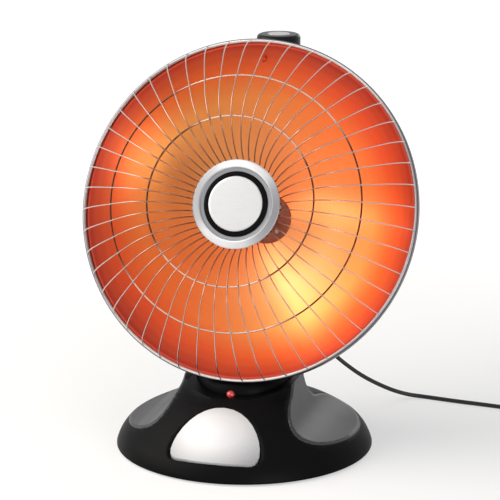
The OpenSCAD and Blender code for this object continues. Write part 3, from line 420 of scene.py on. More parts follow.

# %% [markdown]
# Spun metal mirrors the bright ceiling and floor above and below its axis, and the dark walls at
# its sides, which draws a bow tie on the cap's ring and on the rim. The lamps here are too few to
# draw it, so the signal sideways paints that reflection into the colour, along an axis that is
# tilted a little. The well inside the cap's ring, with the element stem in it, and the outer side
# of the rim are painted darker, a painted shade.

# %% Spun metal
RIM_RADIUS = 0.230
BEAD_RADIUS = 0.0026
WELL_RADIUS = 0.0475

finish = Finish("spun_aluminium", "brushed_aluminium")
radius = finish.off_axis()
rings = finish.line_noise(radius, 1600.0, 3.0)
# The bow tie is a painted reflection.
bow = finish.ramp(
    finish.sideways(), (0.0, 206, 206, 208), (0.5, 190, 190, 192),
    (0.8, 134, 134, 138), (1.0, 104, 104, 108),
)
# Inside the well's radius, the well and the element stem are painted dark grey, a painted shade.
well = radius.math("LESS_THAN", WELL_RADIUS)
shade = finish.mix(well, bow, paint(104, 105, 111))
cap_metal = finish.surface(
    base_color=finish.mix(0.3 * rings, shade, paint(224, 224, 226)),
    metallic=0.9,
    roughness=0.42 + 0.08 * rings,
    normal=finish.bump(rings, 0.00005, 0.6),
)

finish = Finish("rim_steel", "brushed_aluminium")
# The rim's bow tie is a painted reflection, and the dark outer side of its bead is a painted
# shade.
outward = (finish.off_axis() - RIM_RADIUS) / (2 * BEAD_RADIUS) + 1
front = finish.ramp(finish.sideways(), (0.4, 204, 198, 200), (0.8, 140, 134, 137))
rim_metal = finish.surface(
    base_color=finish.mix((outward - 0.55) / 0.3, front, paint(82, 78, 81)),
    metallic=1.0,
    roughness=0.28 + 0.06 * finish.noise(60.0, 2.0),
)
print("spun metal", cap_metal.name, rim_metal.name)

# %% [markdown]
# The badge is a brushed plate with a crown. Its colour is painted lightest in the middle and
# darker towards its edge, a painted shade of the crown. The disc on the cap is flat and satin.
# Both get their grain from noise that is drawn out into long lines along x.

# %% Brushed metal
BADGE_LOW, BADGE_TOP, BADGE_HALF_WIDE = 0.035, 0.098, 0.061

finish = Finish("brushed_aluminium")
lines = finish.brushed(40, 1500)
x, _, height = finish.axes()
rise = (height - BADGE_LOW) / (BADGE_TOP - BADGE_LOW)
off_centre = ((x / BADGE_HALF_WIDE) ** 2 + (2.2 * rise - 0.8) ** 2) ** 0.5
# The darkening towards the edge is a painted shade of the crown.
crown_painted_shade = finish.ramp(
    off_centre / 1.5, (0.0, 212, 212, 214), (0.35, 204, 204, 206),
    (0.6, 178, 178, 181), (0.9, 134, 134, 138),
)
badge_metal = finish.surface(
    base_color=finish.mix(0.25 * lines, crown_painted_shade, paint(236, 236, 238)),
    metallic=0.5,
    roughness=0.5 + 0.14 * lines,
    normal=finish.bump(lines, 0.00004, 0.5),
)

finish = Finish("satin_disc", "brushed_aluminium")
lines = finish.brushed(60, 1400)
disc_metal = finish.surface(
    base_color=finish.mix(lines, paint(198, 199, 201), paint(218, 218, 219)),
    metallic=0.3,
    roughness=0.34 + 0.1 * lines,
    normal=finish.bump(lines, 0.00003, 0.5),
)
print("brushed metal", disc_metal.name, badge_metal.name)

# %% [markdown]
# The guard is plated wire. Over the middle of the dish the wire is painted darker and browner, a
# painted shade. The two rings, which lie behind the wires, are painted dark at the sides and
# bright at the top and bottom, a painted reflection. All of it follows from where a point lies on
# the head.

# %% Guard wire
OUTER_RING = (0.1686, 0.067)
INNER_RING = (0.1112, 0.0915)
RING_SKIN = 0.0016

finish = Finish("bright_wire")
_, _, z = finish.on_head()
radius = finish.off_axis()
waver = finish.noise(40.0, 2.0) - 0.5
near = []
for ring_radius, ring_height in (OUTER_RING, INNER_RING):
    off = ((radius - ring_radius) ** 2 + (z - ring_height) ** 2) ** 0.5
    near.append(off.math("LESS_THAN", RING_SKIN))
on_ring = near[0].math("MAXIMUM", near[1])
# The rings' dark sides are a painted reflection.
ring_painted_reflection = finish.ramp(
    finish.sideways() + 0.08 * waver, (0.55, 206, 176, 160), (0.74, 84, 56, 46),
    (1.0, 60, 38, 30),
)
# The wire's darker, browner middle is a painted shade.
centre_shaded_plating = finish.ramp(
    (radius + 0.02 * waver) / RIM_RADIUS, (0.22, 128, 86, 68), (0.48, 148, 112, 96),
    (0.7, 186, 162, 150), (1.0, 206, 192, 186),
)
bright_wire = finish.surface(
    base_color=finish.mix(on_ring, centre_shaded_plating, ring_painted_reflection),
    metallic=1.0,
    roughness=0.2 + 0.08 * finish.noise(180.0, 3.0),
    normal=finish.bump(finish.noise(700.0, 2.0), 0.00002, 0.5),
)
print("wire ready")

# %% [markdown]
# Four small finishes remain around the heart of the heater: the plate at the vertex, whose dark
# brown is a painted shadow of the cap on the dish, the ceramic core, the heater wire that glows
# in use, and the red lens with its lamp.

# %% Heat and light
# The plate's dark brown is a painted shadow of the cap on the dish.
finish = Finish("brown_plate")
plate_mottle = finish.noise(45.0, 4.0)
brown_plate = finish.surface(
    base_color=finish.mix(plate_mottle, paint(104, 46, 28), paint(134, 66, 40)),
    metallic=0.2,
    roughness=0.45 + 0.15 * plate_mottle,
    normal=finish.bump(finish.noise(800.0), 0.00006, 0.6),
)

finish = Finish("glowing_wire")
scale = finish.noise(300.0, 2.0)
glow_wire = finish.surface(
    base_color=finish.mix(scale, paint(90, 74, 66), paint(140, 116, 98)),
    metallic=0.7,
    roughness=0.45 + 0.2 * scale,
)

finish = Finish("red_lens")
cloud = finish.noise(200.0, 2.0)
lens_red = finish.surface(
    base_color=finish.mix(cloud, paint(176, 26, 24), paint(214, 70, 66)),
    roughness=0.12 + 0.04 * cloud,
    coat_weight=0.6,
    coat_roughness=0.05,
)

ceramic = moulded("ceramic", paint(232, 222, 202), 0.5, 0.00008, 500.0, 0.06)
lamp_glass = moulded("lamp_glass", paint(240, 190, 170), 0.12, 0.00001)
print("small finishes ready")

# %% [markdown]
# Every shape that follows becomes a piece: an object at the origin with one finish, which is
# shaded smooth but keeps its edges, and rides on one of the heater's bodies.

# %% Pieces
def new_piece(name, mesh, finish, body="heater", sharp=35):
    """Links a finished mesh as a piece that rides on a body, or on none."""
    made = new_object(name, mesh)
    mesh.materials.clear()
    mesh.materials.append(finish)
    mesh.polygons.foreach_set("use_smooth", [True] * len(mesh.polygons))
    mesh.set_sharp_from_angle(angle=math.radians(sharp))
    mesh.update()
    if body:
        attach(made, body)
    return made


# %% [markdown]
# Round parts are turned: a profile of radius and height spins round an axis. A screw modifier
# could do it too, but rings of points are as short and close the poles. The mesh goes straight
# into its place, so that the object stays at the origin. Most round parts are on the head.

# %% Turning
POLE = 1e-7


def ring_point(radius, turn, height):
    """A place on a circle about z, with the turn counted from 0 to 1."""
    angle = 2 * math.pi * turn
    return Vector((radius * math.cos(angle), radius * math.sin(angle), height))


def skin(shape, rows):
    """Joins each ring of points to the next one; at a pole the faces are triangles."""
    for low, high in zip(rows, rows[1:]):
        for k in range(len(low)):
            ahead = (k + 1) % len(low)
            corners = [low[k], low[ahead], high[ahead], high[k]]
            face = [c for place, c in enumerate(corners) if c not in corners[:place]]
            if len(face) > 2:
                shape.faces.new(face)


def closed_mesh(name, shape, matrix=Matrix()):
    """Turns the faces outwards, puts the shape in its place and returns it as a mesh."""
    bmesh.ops.recalc_face_normals(shape, faces=shape.faces)
    shape.transform(matrix)
    mesh = bpy.data.meshes.new(name)
    shape.to_mesh(mesh)
    shape.free()
    return mesh


def turned_piece(
    name, profile, finish, closed=True, matrix=HEAD, steps=144, body="heater", sharp=60
):
    """Spins points of (radius, height) about z; a closed profile makes a ring."""
    shape = bmesh.new()
    rows = []
    for radius, height in profile:
        if radius < POLE:
            rows.append([shape.verts.new((0, 0, height))] * steps)
        else:
            spots = [ring_point(radius, k / steps, height) for k in range(steps)]
            rows.append([shape.verts.new(spot) for spot in spots])
    skin(shape, rows + rows[:1] if closed else rows)
    return new_piece(name, closed_mesh(name, shape, matrix), finish, body, sharp)


print("a quarter turn from x is", tuple(ring_point(1, 0.25, 0)))

# %% [markdown]
# A profile with hard corners looks cut from card, because real edges catch a thin line of
# light. Two helpers soften a profile before it is turned: one draws an arc, and the other
# replaces each corner of a closed profile by a short curve.

# %% Soft edges
SIDE_SHARE = 0.45


def arc(radius, height, size, angles):
    """Points on a profile's arc about a centre, one for each angle in degrees."""
    turns = [math.radians(angle) for angle in angles]
    return [(radius + size * math.cos(a), height + size * math.sin(a)) for a in turns]


def rounded(corners, cut, steps):
    """A closed profile with each corner (radius, height, scale) cut to a soft edge."""
    out = []
    for k, corner in enumerate(corners):
        here = Vector(corner[:2])
        amount = cut * (corner[2] if len(corner) > 2 else 1)
        if amount == 0:
            out.append(tuple(here))
            continue
        back = Vector(corners[k - 1][:2]) - here
        ahead = Vector(corners[(k + 1) % len(corners)][:2]) - here
        first = here + back.normalized() * min(amount, back.length * SIDE_SHARE)
        last = here + ahead.normalized() * min(amount, ahead.length * SIDE_SHARE)
        for step in range(steps + 1):
            t = step / steps
            out.append(tuple((1 - t) ** 2 * first + 2 * t * (1 - t) * here + t * t * last))
    return out


print("a rounded square has", len(rounded([(0, 0), (1, 0), (1, 1), (0, 1)], 0.1, 2)), "points")

# %% [markdown]
# A CAD solid arrives as loose flat triangles, which is right for machining and wrong for
# gloss: every curved wall would show its facets. Where the solid's shape is right, a copy of
# it is merged and shaded smooth, with an edge kept sharp where its faces meet at an angle.

# %% Smooth copies
def smooth_copy(node, finish, sharp=28):
    """Stands in for a CAD node with its own shape, merged and shaded smooth."""
    mesh = nodes[node].data.copy()
    mesh.name = node + "_smooth"
    if mesh.has_custom_normals:
        mesh.normals_split_custom_set_from_vertices([(0, 0, 0)] * len(mesh.vertices))
    shape = bmesh.new()
    shape.from_mesh(mesh)
    bmesh.ops.remove_doubles(shape, verts=shape.verts, dist=1e-6)
    bmesh.ops.dissolve_degenerate(shape, dist=1e-7, edges=shape.edges)
    shape.to_mesh(mesh)
    shape.free()
    made = new_piece(node + "_smooth", mesh, finish, sharp=sharp)
    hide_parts(node)
    return made


loose = nodes["base_shell"].data
print("base shell", len(loose.vertices), "corners,", len(loose.polygons), "triangles")

# %% [markdown]
# The cord has a fixed length, so it comes before everything that could hide it. It leaves the
# spine in a strain relief, drops to the floor, runs out of the picture and is wound into a
# small tied coil there, with its plug beside it. The points are the route of the CAD solid,
# and a smooth curve goes through them.

# %% The cord's route
CORD_RADIUS = 0.003
RELIEF_ANGLE = math.radians(-30)
RELIEF_WAY = Vector((0, math.cos(RELIEF_ANGLE), math.sin(RELIEF_ANGLE)))
RELIEF_ROOT = Vector((0.006, -0.4085, 0.440)) + 0.610 * RELIEF_WAY
RELIEF_LENGTH = 0.030
CORD_START = RELIEF_ROOT + RELIEF_LENGTH * RELIEF_WAY
CORD_POINTS = [
    CORD_START, CORD_START + 0.012 * RELIEF_WAY,
    (0.0105, 0.168, 0.1075), (0.0205, 0.1785, 0.1015), (0.035, 0.1845, 0.0955),
    (0.0545, 0.187, 0.087), (0.075, 0.1885, 0.0763), (0.094, 0.191, 0.061),
    (0.112, 0.200, 0.045), (0.128, 0.211, 0.032), (0.144, 0.222, 0.021),
    (0.160, 0.232, 0.012), (0.178, 0.240, 0.0056), (0.199, 0.243, 0.0033),
    (0.222, 0.2395, 0.0032), (0.250, 0.235, 0.0032), (0.283, 0.231, 0.0032),
    (0.312, 0.227, 0.0032), (0.342, 0.2215, 0.0036), (0.368, 0.218, 0.0042),
]
COIL_LOW = 0.0042
COIL_RISE = 0.0066
COIL_CENTRE = Vector((0.390, 0.262, COIL_LOW))
COIL_STEP = 0.0068
COIL_HALF = 3.25
COIL_INNER = 0.044 - COIL_STEP * COIL_HALF
COIL_RINGS = 36


def coil_point(turns):
    """A place on the coil, counted in turns from where the spiral turns back."""
    radius = COIL_INNER + COIL_STEP * abs(turns)
    climb = min(1.0, max(0.0, 2 * turns + 0.5))
    return COIL_CENTRE + ring_point(radius, turns + COIL_HALF - 0.25, COIL_RISE * climb)


def smooth_through(points, per_stretch):
    """A curve through given points, as many steps to each stretch."""
    p = [Vector(q) for q in points]
    last = len(p) - 1
    out = []
    for k in range(last):
        a, b, c, d = p[max(k - 1, 0)], p[k], p[k + 1], p[min(k + 2, last)]
        for j in range(per_stretch):
            t = j / per_stretch
            square = 2 * a - 5 * b + 4 * c - d
            cube = 3 * b - a - 3 * c + d
            out.append(0.5 * (2 * b + t * (c - a) + t**2 * square + t**3 * cube))
    return out + [p[last]]


coil_steps = int(2 * COIL_HALF * COIL_RINGS)
coil = [coil_point(-COIL_HALF + i / COIL_RINGS) for i in range(coil_steps + 1)]
route = smooth_through(CORD_POINTS + [coil[0]], 6) + coil[1:]

# %% [markdown]
# A round bar that follows a path is a curve with a bevel. For all but the cord itself it is
# turned into a mesh at once. The cord stays a curve, because a curve carries its own length.

# %% Bars along a path
def bar_curve(name, points, radius, around=4):
    """A curve object of one open spline through the points, with a round section."""
    curve = bpy.data.curves.new(name, "CURVE")
    curve.dimensions = "3D"
    curve.bevel_depth = radius
    curve.bevel_resolution = around
    curve.use_fill_caps = True
    line = curve.splines.new("POLY")
    line.points.add(len(points) - 1)
    for spot, point in zip(line.points, points):
        spot.co = (*point, 1.0)
    line.use_smooth = True
    return new_object(name, curve)


def plain_mesh(source, name):
    """The evaluated object as a new mesh; the object itself is removed."""
    bpy.context.view_layer.update()
    depsgraph = bpy.context.evaluated_depsgraph_get()
    mesh = bpy.data.meshes.new_from_object(source.evaluated_get(depsgraph))
    mesh.name = name
    bpy.data.objects.remove(source)
    return mesh


def bar_piece(name, points, radius, finish, around=3, body="heater"):
    mesh = plain_mesh(bar_curve(name, points, radius, around), name)
    return new_piece(name, mesh, finish, body, 60)


lead = bar_curve("mains_lead", route, CORD_RADIUS)
lead.data.materials.append(cord_plastic)
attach(lead, "heater")
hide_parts("power_cord", "cord_coil")
print("lead made")

# %% [markdown]
# The plug is a moulding with a waist. Its outline is drawn as half widths along its length,
# once from above and once from the side, and a ring of points is fitted to both at each step,
# so that the section is a soft rectangle that swells and shrinks.

# %% Plug
PLUG_LENGTH = 0.034
PLUG_RELIEF = 0.020
PLUG_HALF_WIDE = 0.0128
PLUG_HALF_HIGH = COIL_LOW + COIL_RISE - 0.0004
PLUG_NECK = 0.0056
PLUG_TAIL = 0.0038
PLUG_SHOULDER = 0.55
RIDGE_DEPTH, RIDGES = 0.0005, 10
GRIP_DEPTH, GRIP_WAVES, GRIP_FROM, GRIP_TO = 0.0006, 14, 0.35, 0.8
BEVEL_DEPTH, BEVEL_FROM = 0.0012, 0.94
plug_from = coil[-1]


def soft_square(turn, square):
    """A place on a circle that is drawn out towards a square of half width 1."""
    c, s = math.cos(2 * math.pi * turn), math.sin(2 * math.pi * turn)
    reach = (abs(c) ** square + abs(s) ** square) ** (-1 / square)
    return reach * c, reach * s


shape = bmesh.new()
rows = []
steps, around = 40, 40
for k in range(steps + 1):
    along = k / steps * (PLUG_RELIEF + PLUG_LENGTH)
    if along < PLUG_RELIEF:
        ridge = RIDGE_DEPTH * max(0.0, math.sin(along / PLUG_RELIEF * math.pi * RIDGES))
        wide = high = PLUG_TAIL + (PLUG_NECK - PLUG_TAIL) * along / PLUG_RELIEF + ridge
        square = 2.0
    else:
        t = (along - PLUG_RELIEF) / PLUG_LENGTH
        rise = min(1.0, t / PLUG_SHOULDER)
        swell = rise * rise * (3 - 2 * rise)
        grip = GRIP_DEPTH * max(0.0, math.sin(t * math.pi * GRIP_WAVES))
        grip *= GRIP_FROM < t < GRIP_TO
        wide = PLUG_NECK + (PLUG_HALF_WIDE - PLUG_NECK) * swell - grip
        high = PLUG_NECK + (PLUG_HALF_HIGH - PLUG_NECK) * swell
        square = 2.0 + 2.5 * swell
        bevel = BEVEL_DEPTH * max(0.0, t - BEVEL_FROM) / (1 - BEVEL_FROM)
        wide, high = wide - bevel, high - bevel
    row = [soft_square(j / around, square) for j in range(around)]
    spots = [plug_from + Vector((-along, wide * u, high * v)) for u, v in row]
    rows.append([shape.verts.new(spot) for spot in spots])
skin(shape, rows)
shape.faces.new(rows[0][::-1])
shape.faces.new(rows[-1])
mesh = closed_mesh("plug_moulding", shape)
plug = new_piece("plug_moulding", mesh, cord_plastic, sharp=50)
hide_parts("plug_body")
print("plug ends at x", round(min(v.co.x for v in plug.data.vertices), 4))

# %% [markdown]

# %% Cord
print("cord left as a curve")

# %% [markdown]
# The strain relief is a soft boot that lets the cord bend without breaking. It tapers towards
# the cord and is cut into rings, so its profile steps in and out along its length.

# %% Strain relief
BOOT_BORE = 0.0026
BOOT_FLANGE = 0.008
BOOT_RINGS = 7
BOOT_PITCH = 0.0036
BOOT_WIDE, BOOT_NARROW = 0.0069, 0.0041

corners = [(BOOT_BORE, 0.0002), (BOOT_FLANGE, 0.0002), (BOOT_FLANGE, 0.0030), (0.0068, 0.0034)]
for k in range(BOOT_RINGS):
    low = 0.0042 + k * BOOT_PITCH
    size = BOOT_WIDE - (BOOT_WIDE - BOOT_NARROW) * k / BOOT_RINGS
    corners += [(size, low), (size - 0.0002, low + 0.0022)]
    corners += [(size - 0.0016, low + 0.0026), (size - 0.0016, low + 0.0034)]
corners += [(0.0038, 0.0294), (0.0036, RELIEF_LENGTH), (BOOT_BORE, RELIEF_LENGTH)]
profile = rounded(corners, 0.0003, 2)
on_cord = facing(RELIEF_ROOT, RELIEF_WAY, "Z")
boot = turned_piece("strain_boot", profile, rubber, True, on_cord, 48, sharp=50)
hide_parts("strain_relief")
print("boot", len(boot.data.polygons), "faces")

# %% [markdown]
# The wire guard is what everyone remembers of such a heater: 48 wires swing in from the rim,
# lean on two rings and end under the cap. All have the same bends, so one course is drawn
# here, as radius and height about the dish axis, and Geometry Nodes repeat it.

# %% Course of one wire
WIRE_RADIUS = 0.00085
ROD_RADIUS = 0.00115
CAP_RADIUS = 0.059
CAP_HEIGHT = 0.057
OUTER_LEAN = Vector((-0.026, 0.020))
INNER_LEAN = Vector((-0.022, -0.003))
START_LEAN = Vector((-0.006, 0.026))
TURN_LEAN = Vector((-0.007, -0.015))
RING_REACH = ROD_RADIUS + WIRE_RADIUS + 0.0002


def across(lean):
    """The outward direction square to a wire's lean."""
    return Vector((lean.y, -lean.x)).normalized() * (1 if lean.x < 0 else -1)


def bezier(p, leave, arrive, s, steps):
    """A curve from p to s that leaves and arrives along two leans."""
    out = []
    q, r = p + leave, s - arrive
    for i in range(steps + 1):
        t = i / steps
        u = 1 - t
        out.append(u**3 * p + 3 * u * u * t * q + 3 * u * t * t * r + t**3 * s)
    return out


wire_start = Vector((RIM_RADIUS - BEAD_RADIUS, BEAD_RADIUS + WIRE_RADIUS))
wire_outer = Vector(OUTER_RING) + RING_REACH * across(OUTER_LEAN)
wire_inner = Vector(INNER_RING) + RING_REACH * across(INNER_LEAN)
wire_turn = Vector((CAP_RADIUS + 0.002, CAP_HEIGHT))
course = bezier(wire_start, START_LEAN, OUTER_LEAN, wire_outer, 12)
course += bezier(wire_outer, OUTER_LEAN * 0.85, INNER_LEAN, wire_inner, 10)[1:]
course += bezier(wire_inner, INNER_LEAN, TURN_LEAN, wire_turn, 10)[1:]
course.append(Vector((CAP_RADIUS - 0.005, CAP_HEIGHT)))
print("wire", len(course), "points, top at", round(max(p.y for p in course), 4))

# %% [markdown]
# A Geometry Nodes tree needs an entry, an exit and a few steps that come back, such as a
# thick rod or a part that is moved. The class Pattern holds them, makes an input of each
# size, and ends with real geometry that has its finish.

# %% The class Pattern
class Pattern(Tree):
    """A Geometry Nodes tree with named inputs for its sizes."""

    def __init__(self, name, sizes):
        super().__init__(bpy.data.node_groups.new(name, "GeometryNodeTree"))
        self.socket("Geometry", "Geometry", "OUTPUT")
        self.socket("Geometry", "Geometry")
        self.sizes = []
        for key, value in sizes.items():
            made = self.socket(key, "Int" if isinstance(value, int) else "Float")
            self.sizes.append((made.identifier, value))
        self.entry = self.node("NodeGroupInput")

    def socket(self, name, kind, way="INPUT"):
        kind = "NodeSocket" + kind
        return self.tree.interface.new_socket(name, in_out=way, socket_type=kind)

    def size(self, name):
        return self.entry.other(name)

    def vector(self, **parts):
        return self.node("ShaderNodeCombineXYZ", parts)

    def moved(self, geometry, **change):
        return self.node("GeometryNodeTransform", {"Geometry": geometry, **change})

    def rod(self, path, radius, sides):
        """A path thickened to a round rod with closed ends."""
        section = self.circle(sides, radius)
        bar = {"Curve": path, "Profile Curve": section, "Fill Caps": True}
        return self.node("GeometryNodeCurveToMesh", bar)

    def circle(self, sides, radius):
        inputs = {"Resolution": sides, "Radius": radius}
        return self.node("GeometryNodeCurvePrimitiveCircle", inputs)

    def joined(self, *parts):
        made = self.node("GeometryNodeJoinGeometry")
        for part in reversed(parts):
            self.tree.links.new(part.socket, made.socket.node.inputs[0])
        return made

    def end(self, geometry, finish):
        whole = self.node("GeometryNodeRealizeInstances", {"Geometry": geometry})
        done = self.node("GeometryNodeSetMaterial", {"Geometry": whole, "Material": finish})
        self.node("NodeGroupOutput", {"Geometry": done})

    def run(self, source, name):
        """Runs the tree on an object and returns the result as a plain mesh."""
        modifier = source.modifiers.new(name, "NODES")
        modifier.node_group = self.tree
        for key, value in self.sizes:
            modifier[key] = value
        source.update_tag()
        return plain_mesh(source, name)


print("pattern ready for", len(course), "points of wire")

# %% [markdown]
# The tree thickens the one wire, sets 48 turned copies about the axis, adds the two rings and
# a weld bead at every crossing, and tilts the lot with the head.

# %% Guard tree
sizes = {
    "Wires": 48, "First angle": math.radians(4), "Wire radius": WIRE_RADIUS,
    "Rod radius": ROD_RADIUS, "Bead radius": 0.0015,
}
circles = {
    "Outer": OUTER_RING,
    "Inner": INNER_RING,
    "Outer bead": (wire_outer.x - 0.0008, wire_outer.y - 0.0008),
    "Inner bead": (wire_inner.x - 0.0002, wire_inner.y - 0.001),
}
for place, (radius, height) in circles.items():
    sizes.update({place + " radius": radius, place + " height": height})
tree = Pattern("wire_guard", sizes)


def about_axis(part):
    """Copies a part in every wire's place about the dish axis."""
    index = tree.node("GeometryNodeInputIndex")
    step = index * (2 * math.pi) / tree.size("Wires") + tree.size("First angle")
    turned = tree.node("FunctionNodeEulerToRotation", {"Euler": tree.vector(Z=step)})
    spots = tree.node("GeometryNodePoints", {"Count": tree.size("Wires")})
    copies = {"Points": spots, "Instance": part, "Rotation": turned}
    return tree.node("GeometryNodeInstanceOnPoints", copies)


def ring(place):
    circle = tree.circle(180, tree.size(place + " radius"))
    lift = tree.vector(Z=tree.size(place + " height"))
    return tree.rod(tree.moved(circle, Translation=lift), tree.size("Rod radius"), 12)


def weld(place):
    size = {"Radius": tree.size("Bead radius"), "Subdivisions": 2}
    ball = tree.node("GeometryNodeMeshIcoSphere", size)
    spot = tree.vector(X=tree.size(place + " radius"), Z=tree.size(place + " height"))
    return about_axis(tree.moved(ball, Translation=spot))


wires = about_axis(tree.rod(tree.size("Geometry"), tree.size("Wire radius"), 10))
rings = ring("Outer"), ring("Inner")
guard = tree.joined(wires, *rings, weld("Outer bead"), weld("Inner bead"))
tree.end(tree.moved(guard, Translation=HEAD_AT, Rotation=(HEAD_TURN, 0, 0)), bright_wire)
one_wire = bar_curve("one_wire", [(p.x, 0, p.y) for p in course], 0, 0)
guard_mesh = tree.run(one_wire, "guard_of_wires")
guard = new_piece("guard_of_wires", guard_mesh, bright_wire, sharp=60)
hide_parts("guard_wires", "guard_outer_ring", "guard_inner_ring")
print("guard", len(guard_mesh.polygons), "faces")

# %% [markdown]
# The dish itself is one smooth parabola. Height grows with the square of the radius, so the
# profile is that rule written out, with the thin sheet's back a little behind its front.

# %% Dish and rim
DISH_DEPTH = 0.107
DISH_HOLE = 0.012
DISH_STEPS = 48
FLANGE = -0.0029
FLANGE_RADIUS = 0.2283
SHEET = 0.001
VERTEX = FLANGE - DISH_DEPTH
CHANNEL_INNER, CHANNEL_OUTER = -0.0079, -0.009


def dish_height(radius):
    return VERTEX + DISH_DEPTH * (radius / DISH_RADIUS) ** 2


reaches = [DISH_HOLE + (DISH_RADIUS - DISH_HOLE) * k / DISH_STEPS for k in range(DISH_STEPS + 1)]
front = [(r, dish_height(r)) for r in reaches]
back = [(r, dish_height(r) - SHEET) for r in reversed(reaches)]
lip = [(FLANGE_RADIUS, FLANGE), (FLANGE_RADIUS, FLANGE - SHEET)]
dish = turned_piece("spun_dish", front + lip + back, copper, steps=192, sharp=40)
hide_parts("reflector")

bead = arc(RIM_RADIUS - BEAD_RADIUS, 0, BEAD_RADIUS, range(-30, 211, 12))
wall = RIM_RADIUS - 0.0015
channel = [
    (wall, -0.0012), (wall, CHANNEL_INNER), (DISH_RADIUS + SHEET, CHANNEL_INNER),
    (DISH_RADIUS + SHEET, CHANNEL_OUTER), (RIM_RADIUS, CHANNEL_OUTER),
]
rim = turned_piece("rolled_rim", bead + channel, rim_metal, steps=192, sharp=50)
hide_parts("rim_channel")
print("dish", len(dish.data.polygons), "rim", len(rim.data.polygons))

# %% [markdown]
# The cap hides the hot core from the front: a dished bright ring, a black trim ring and a bare
# satin disc. All are turned on the dish axis, with softened edges that catch the light.

# %% Cap
SEAT = CAP_HEIGHT + 0.0026
TRIM_RADIUS = 0.043
DISC_RADIUS = 0.0362
DISC_CROWN = 0.0006
CAP_EDGE = 0.0007
LIP = CAP_HEIGHT + WIRE_RADIUS
cap_profile = [
    (0.0042, SEAT - 0.0012, 0), (WELL_RADIUS + 0.0005, SEAT - 0.0012),
    (WELL_RADIUS + 0.002, CAP_HEIGHT + 0.0027), (CAP_RADIUS - 0.0025, LIP + 0.0002),
    (CAP_RADIUS - 0.0004, LIP + 0.0002), (CAP_RADIUS, LIP + 0.0006),
    (CAP_RADIUS, LIP + 0.0012), (CAP_RADIUS - 0.001, LIP + 0.0018),
    (WELL_RADIUS + 0.0024, CAP_HEIGHT + 0.0042), (WELL_RADIUS + 0.0009, CAP_HEIGHT + 0.0039),
    (WELL_RADIUS, SEAT), (0.0042, SEAT, 0),
]
cap = turned_piece("cap_pressing", rounded(cap_profile, CAP_EDGE, 3), cap_metal)
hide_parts("cap_dish")

trim_profile = [
    (DISC_RADIUS - 0.0038, SEAT + 0.0002, 0), (TRIM_RADIUS, SEAT + 0.0002, 0),
    (TRIM_RADIUS, SEAT + 0.0012), (TRIM_RADIUS - 0.002, SEAT + 0.0024, 2),
    (DISC_RADIUS + 0.0002, SEAT + 0.0024), (DISC_RADIUS + 0.0002, SEAT + 0.0012, 0),
    (DISC_RADIUS - 0.0038, SEAT + 0.0012, 0),
]
trim = turned_piece("cap_trim", rounded(trim_profile, CAP_EDGE, 3), black_plastic)
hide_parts("cap_trim_ring")

disc_low = SEAT + 0.0014
disc_top = CAP_HEIGHT + 0.0063
disc_profile = [(0, disc_low), (DISC_RADIUS, disc_low), (DISC_RADIUS, disc_top - DISC_CROWN)]
disc_profile += [(DISC_RADIUS - DISC_CROWN, disc_top)]
for share in [k / 12 for k in range(11, -1, -1)]:
    disc_profile.append((DISC_RADIUS * share, disc_top + DISC_CROWN * (1 - share**2)))
disc = turned_piece("cap_face", disc_profile, disc_metal, closed=False, sharp=50)
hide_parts("cap_disc")
print("cap parts", cap.name, trim.name, disc.name)

# %% [markdown]
# The heater wire is a fine spiral that is itself wound round the ceramic core, a coil of a
# coil. Both turns are plain sines, so one formula gives its centre line.

# %% Heater winding
CORE_RADIUS = 0.013
CORE_FRONT = 0.030
CORE_LENGTH = 0.066
CORE_REAR = CORE_FRONT - CORE_LENGTH
WIND_GAP = 0.0012
WIND_RADIUS = 0.0012
WIND_WIRE = 0.00032
WIND_TURNS = 12
WIND_AT = CORE_RADIUS + WIND_GAP + WIND_RADIUS
WIND_PITCH = (CORE_LENGTH - 4 * WIND_RADIUS) / (WIND_TURNS + 1)
WIND_END = 0.0002
LOOPS_PER_TURN = 44
POINTS_PER_LOOP = 7

fine = WIND_RADIUS * 0.72
low = CORE_REAR + 2 * WIND_RADIUS + WIND_PITCH / 2
points = [Vector((WIND_AT, 0, CORE_REAR + WIND_END))]
for i in range(WIND_TURNS * LOOPS_PER_TURN * POINTS_PER_LOOP + 1):
    turn = i / (LOOPS_PER_TURN * POINTS_PER_LOOP)
    loop = 2 * math.pi * i / POINTS_PER_LOOP
    height = low + turn * WIND_PITCH + fine * math.sin(loop)
    points.append(ring_point(WIND_AT + fine * math.cos(loop), turn, height))
points.append(Vector((WIND_AT, 0, CORE_FRONT - WIND_END)))
points = [HEAD @ point for point in points]
winding = bar_piece("heater_winding", points, WIND_WIRE, glow_wire, 0)
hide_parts("element_winding")
print("winding", len(winding.data.polygons), "faces")

# %% [markdown]
# The spring of the tip-over switch stands between the bracket and the plunger's collar. It is
# wound in place and rides on no body.

# %% Tip-over spring
SPRING_LOW, SPRING_HIGH, SPRING_TURNS = 0.0222, 0.0378, 5
SPRING_RADIUS, SPRING_WIRE, SPRING_RINGS = 0.0054, 0.0005, 24
SPRING_RISE = SPRING_HIGH - SPRING_LOW - 2 * SPRING_WIRE

turns = [i / SPRING_RINGS for i in range(SPRING_RINGS * SPRING_TURNS + 1)]
heights = [SPRING_LOW + SPRING_WIRE + SPRING_RISE * turn / SPRING_TURNS for turn in turns]
points = [ring_point(SPRING_RADIUS, turn, height) for turn, height in zip(turns, heights)]
spring = bar_piece("tip_spring", points, SPRING_WIRE, steel, 2, body=None)
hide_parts("plunger_spring")
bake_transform(spring)
print("spring", len(points), "points")

# %% [markdown]
# The knob is turned too, with a deep soft edge and a bright inlay with a small hole. It rides
# on the thermostat's body, so it turns with the shaft.

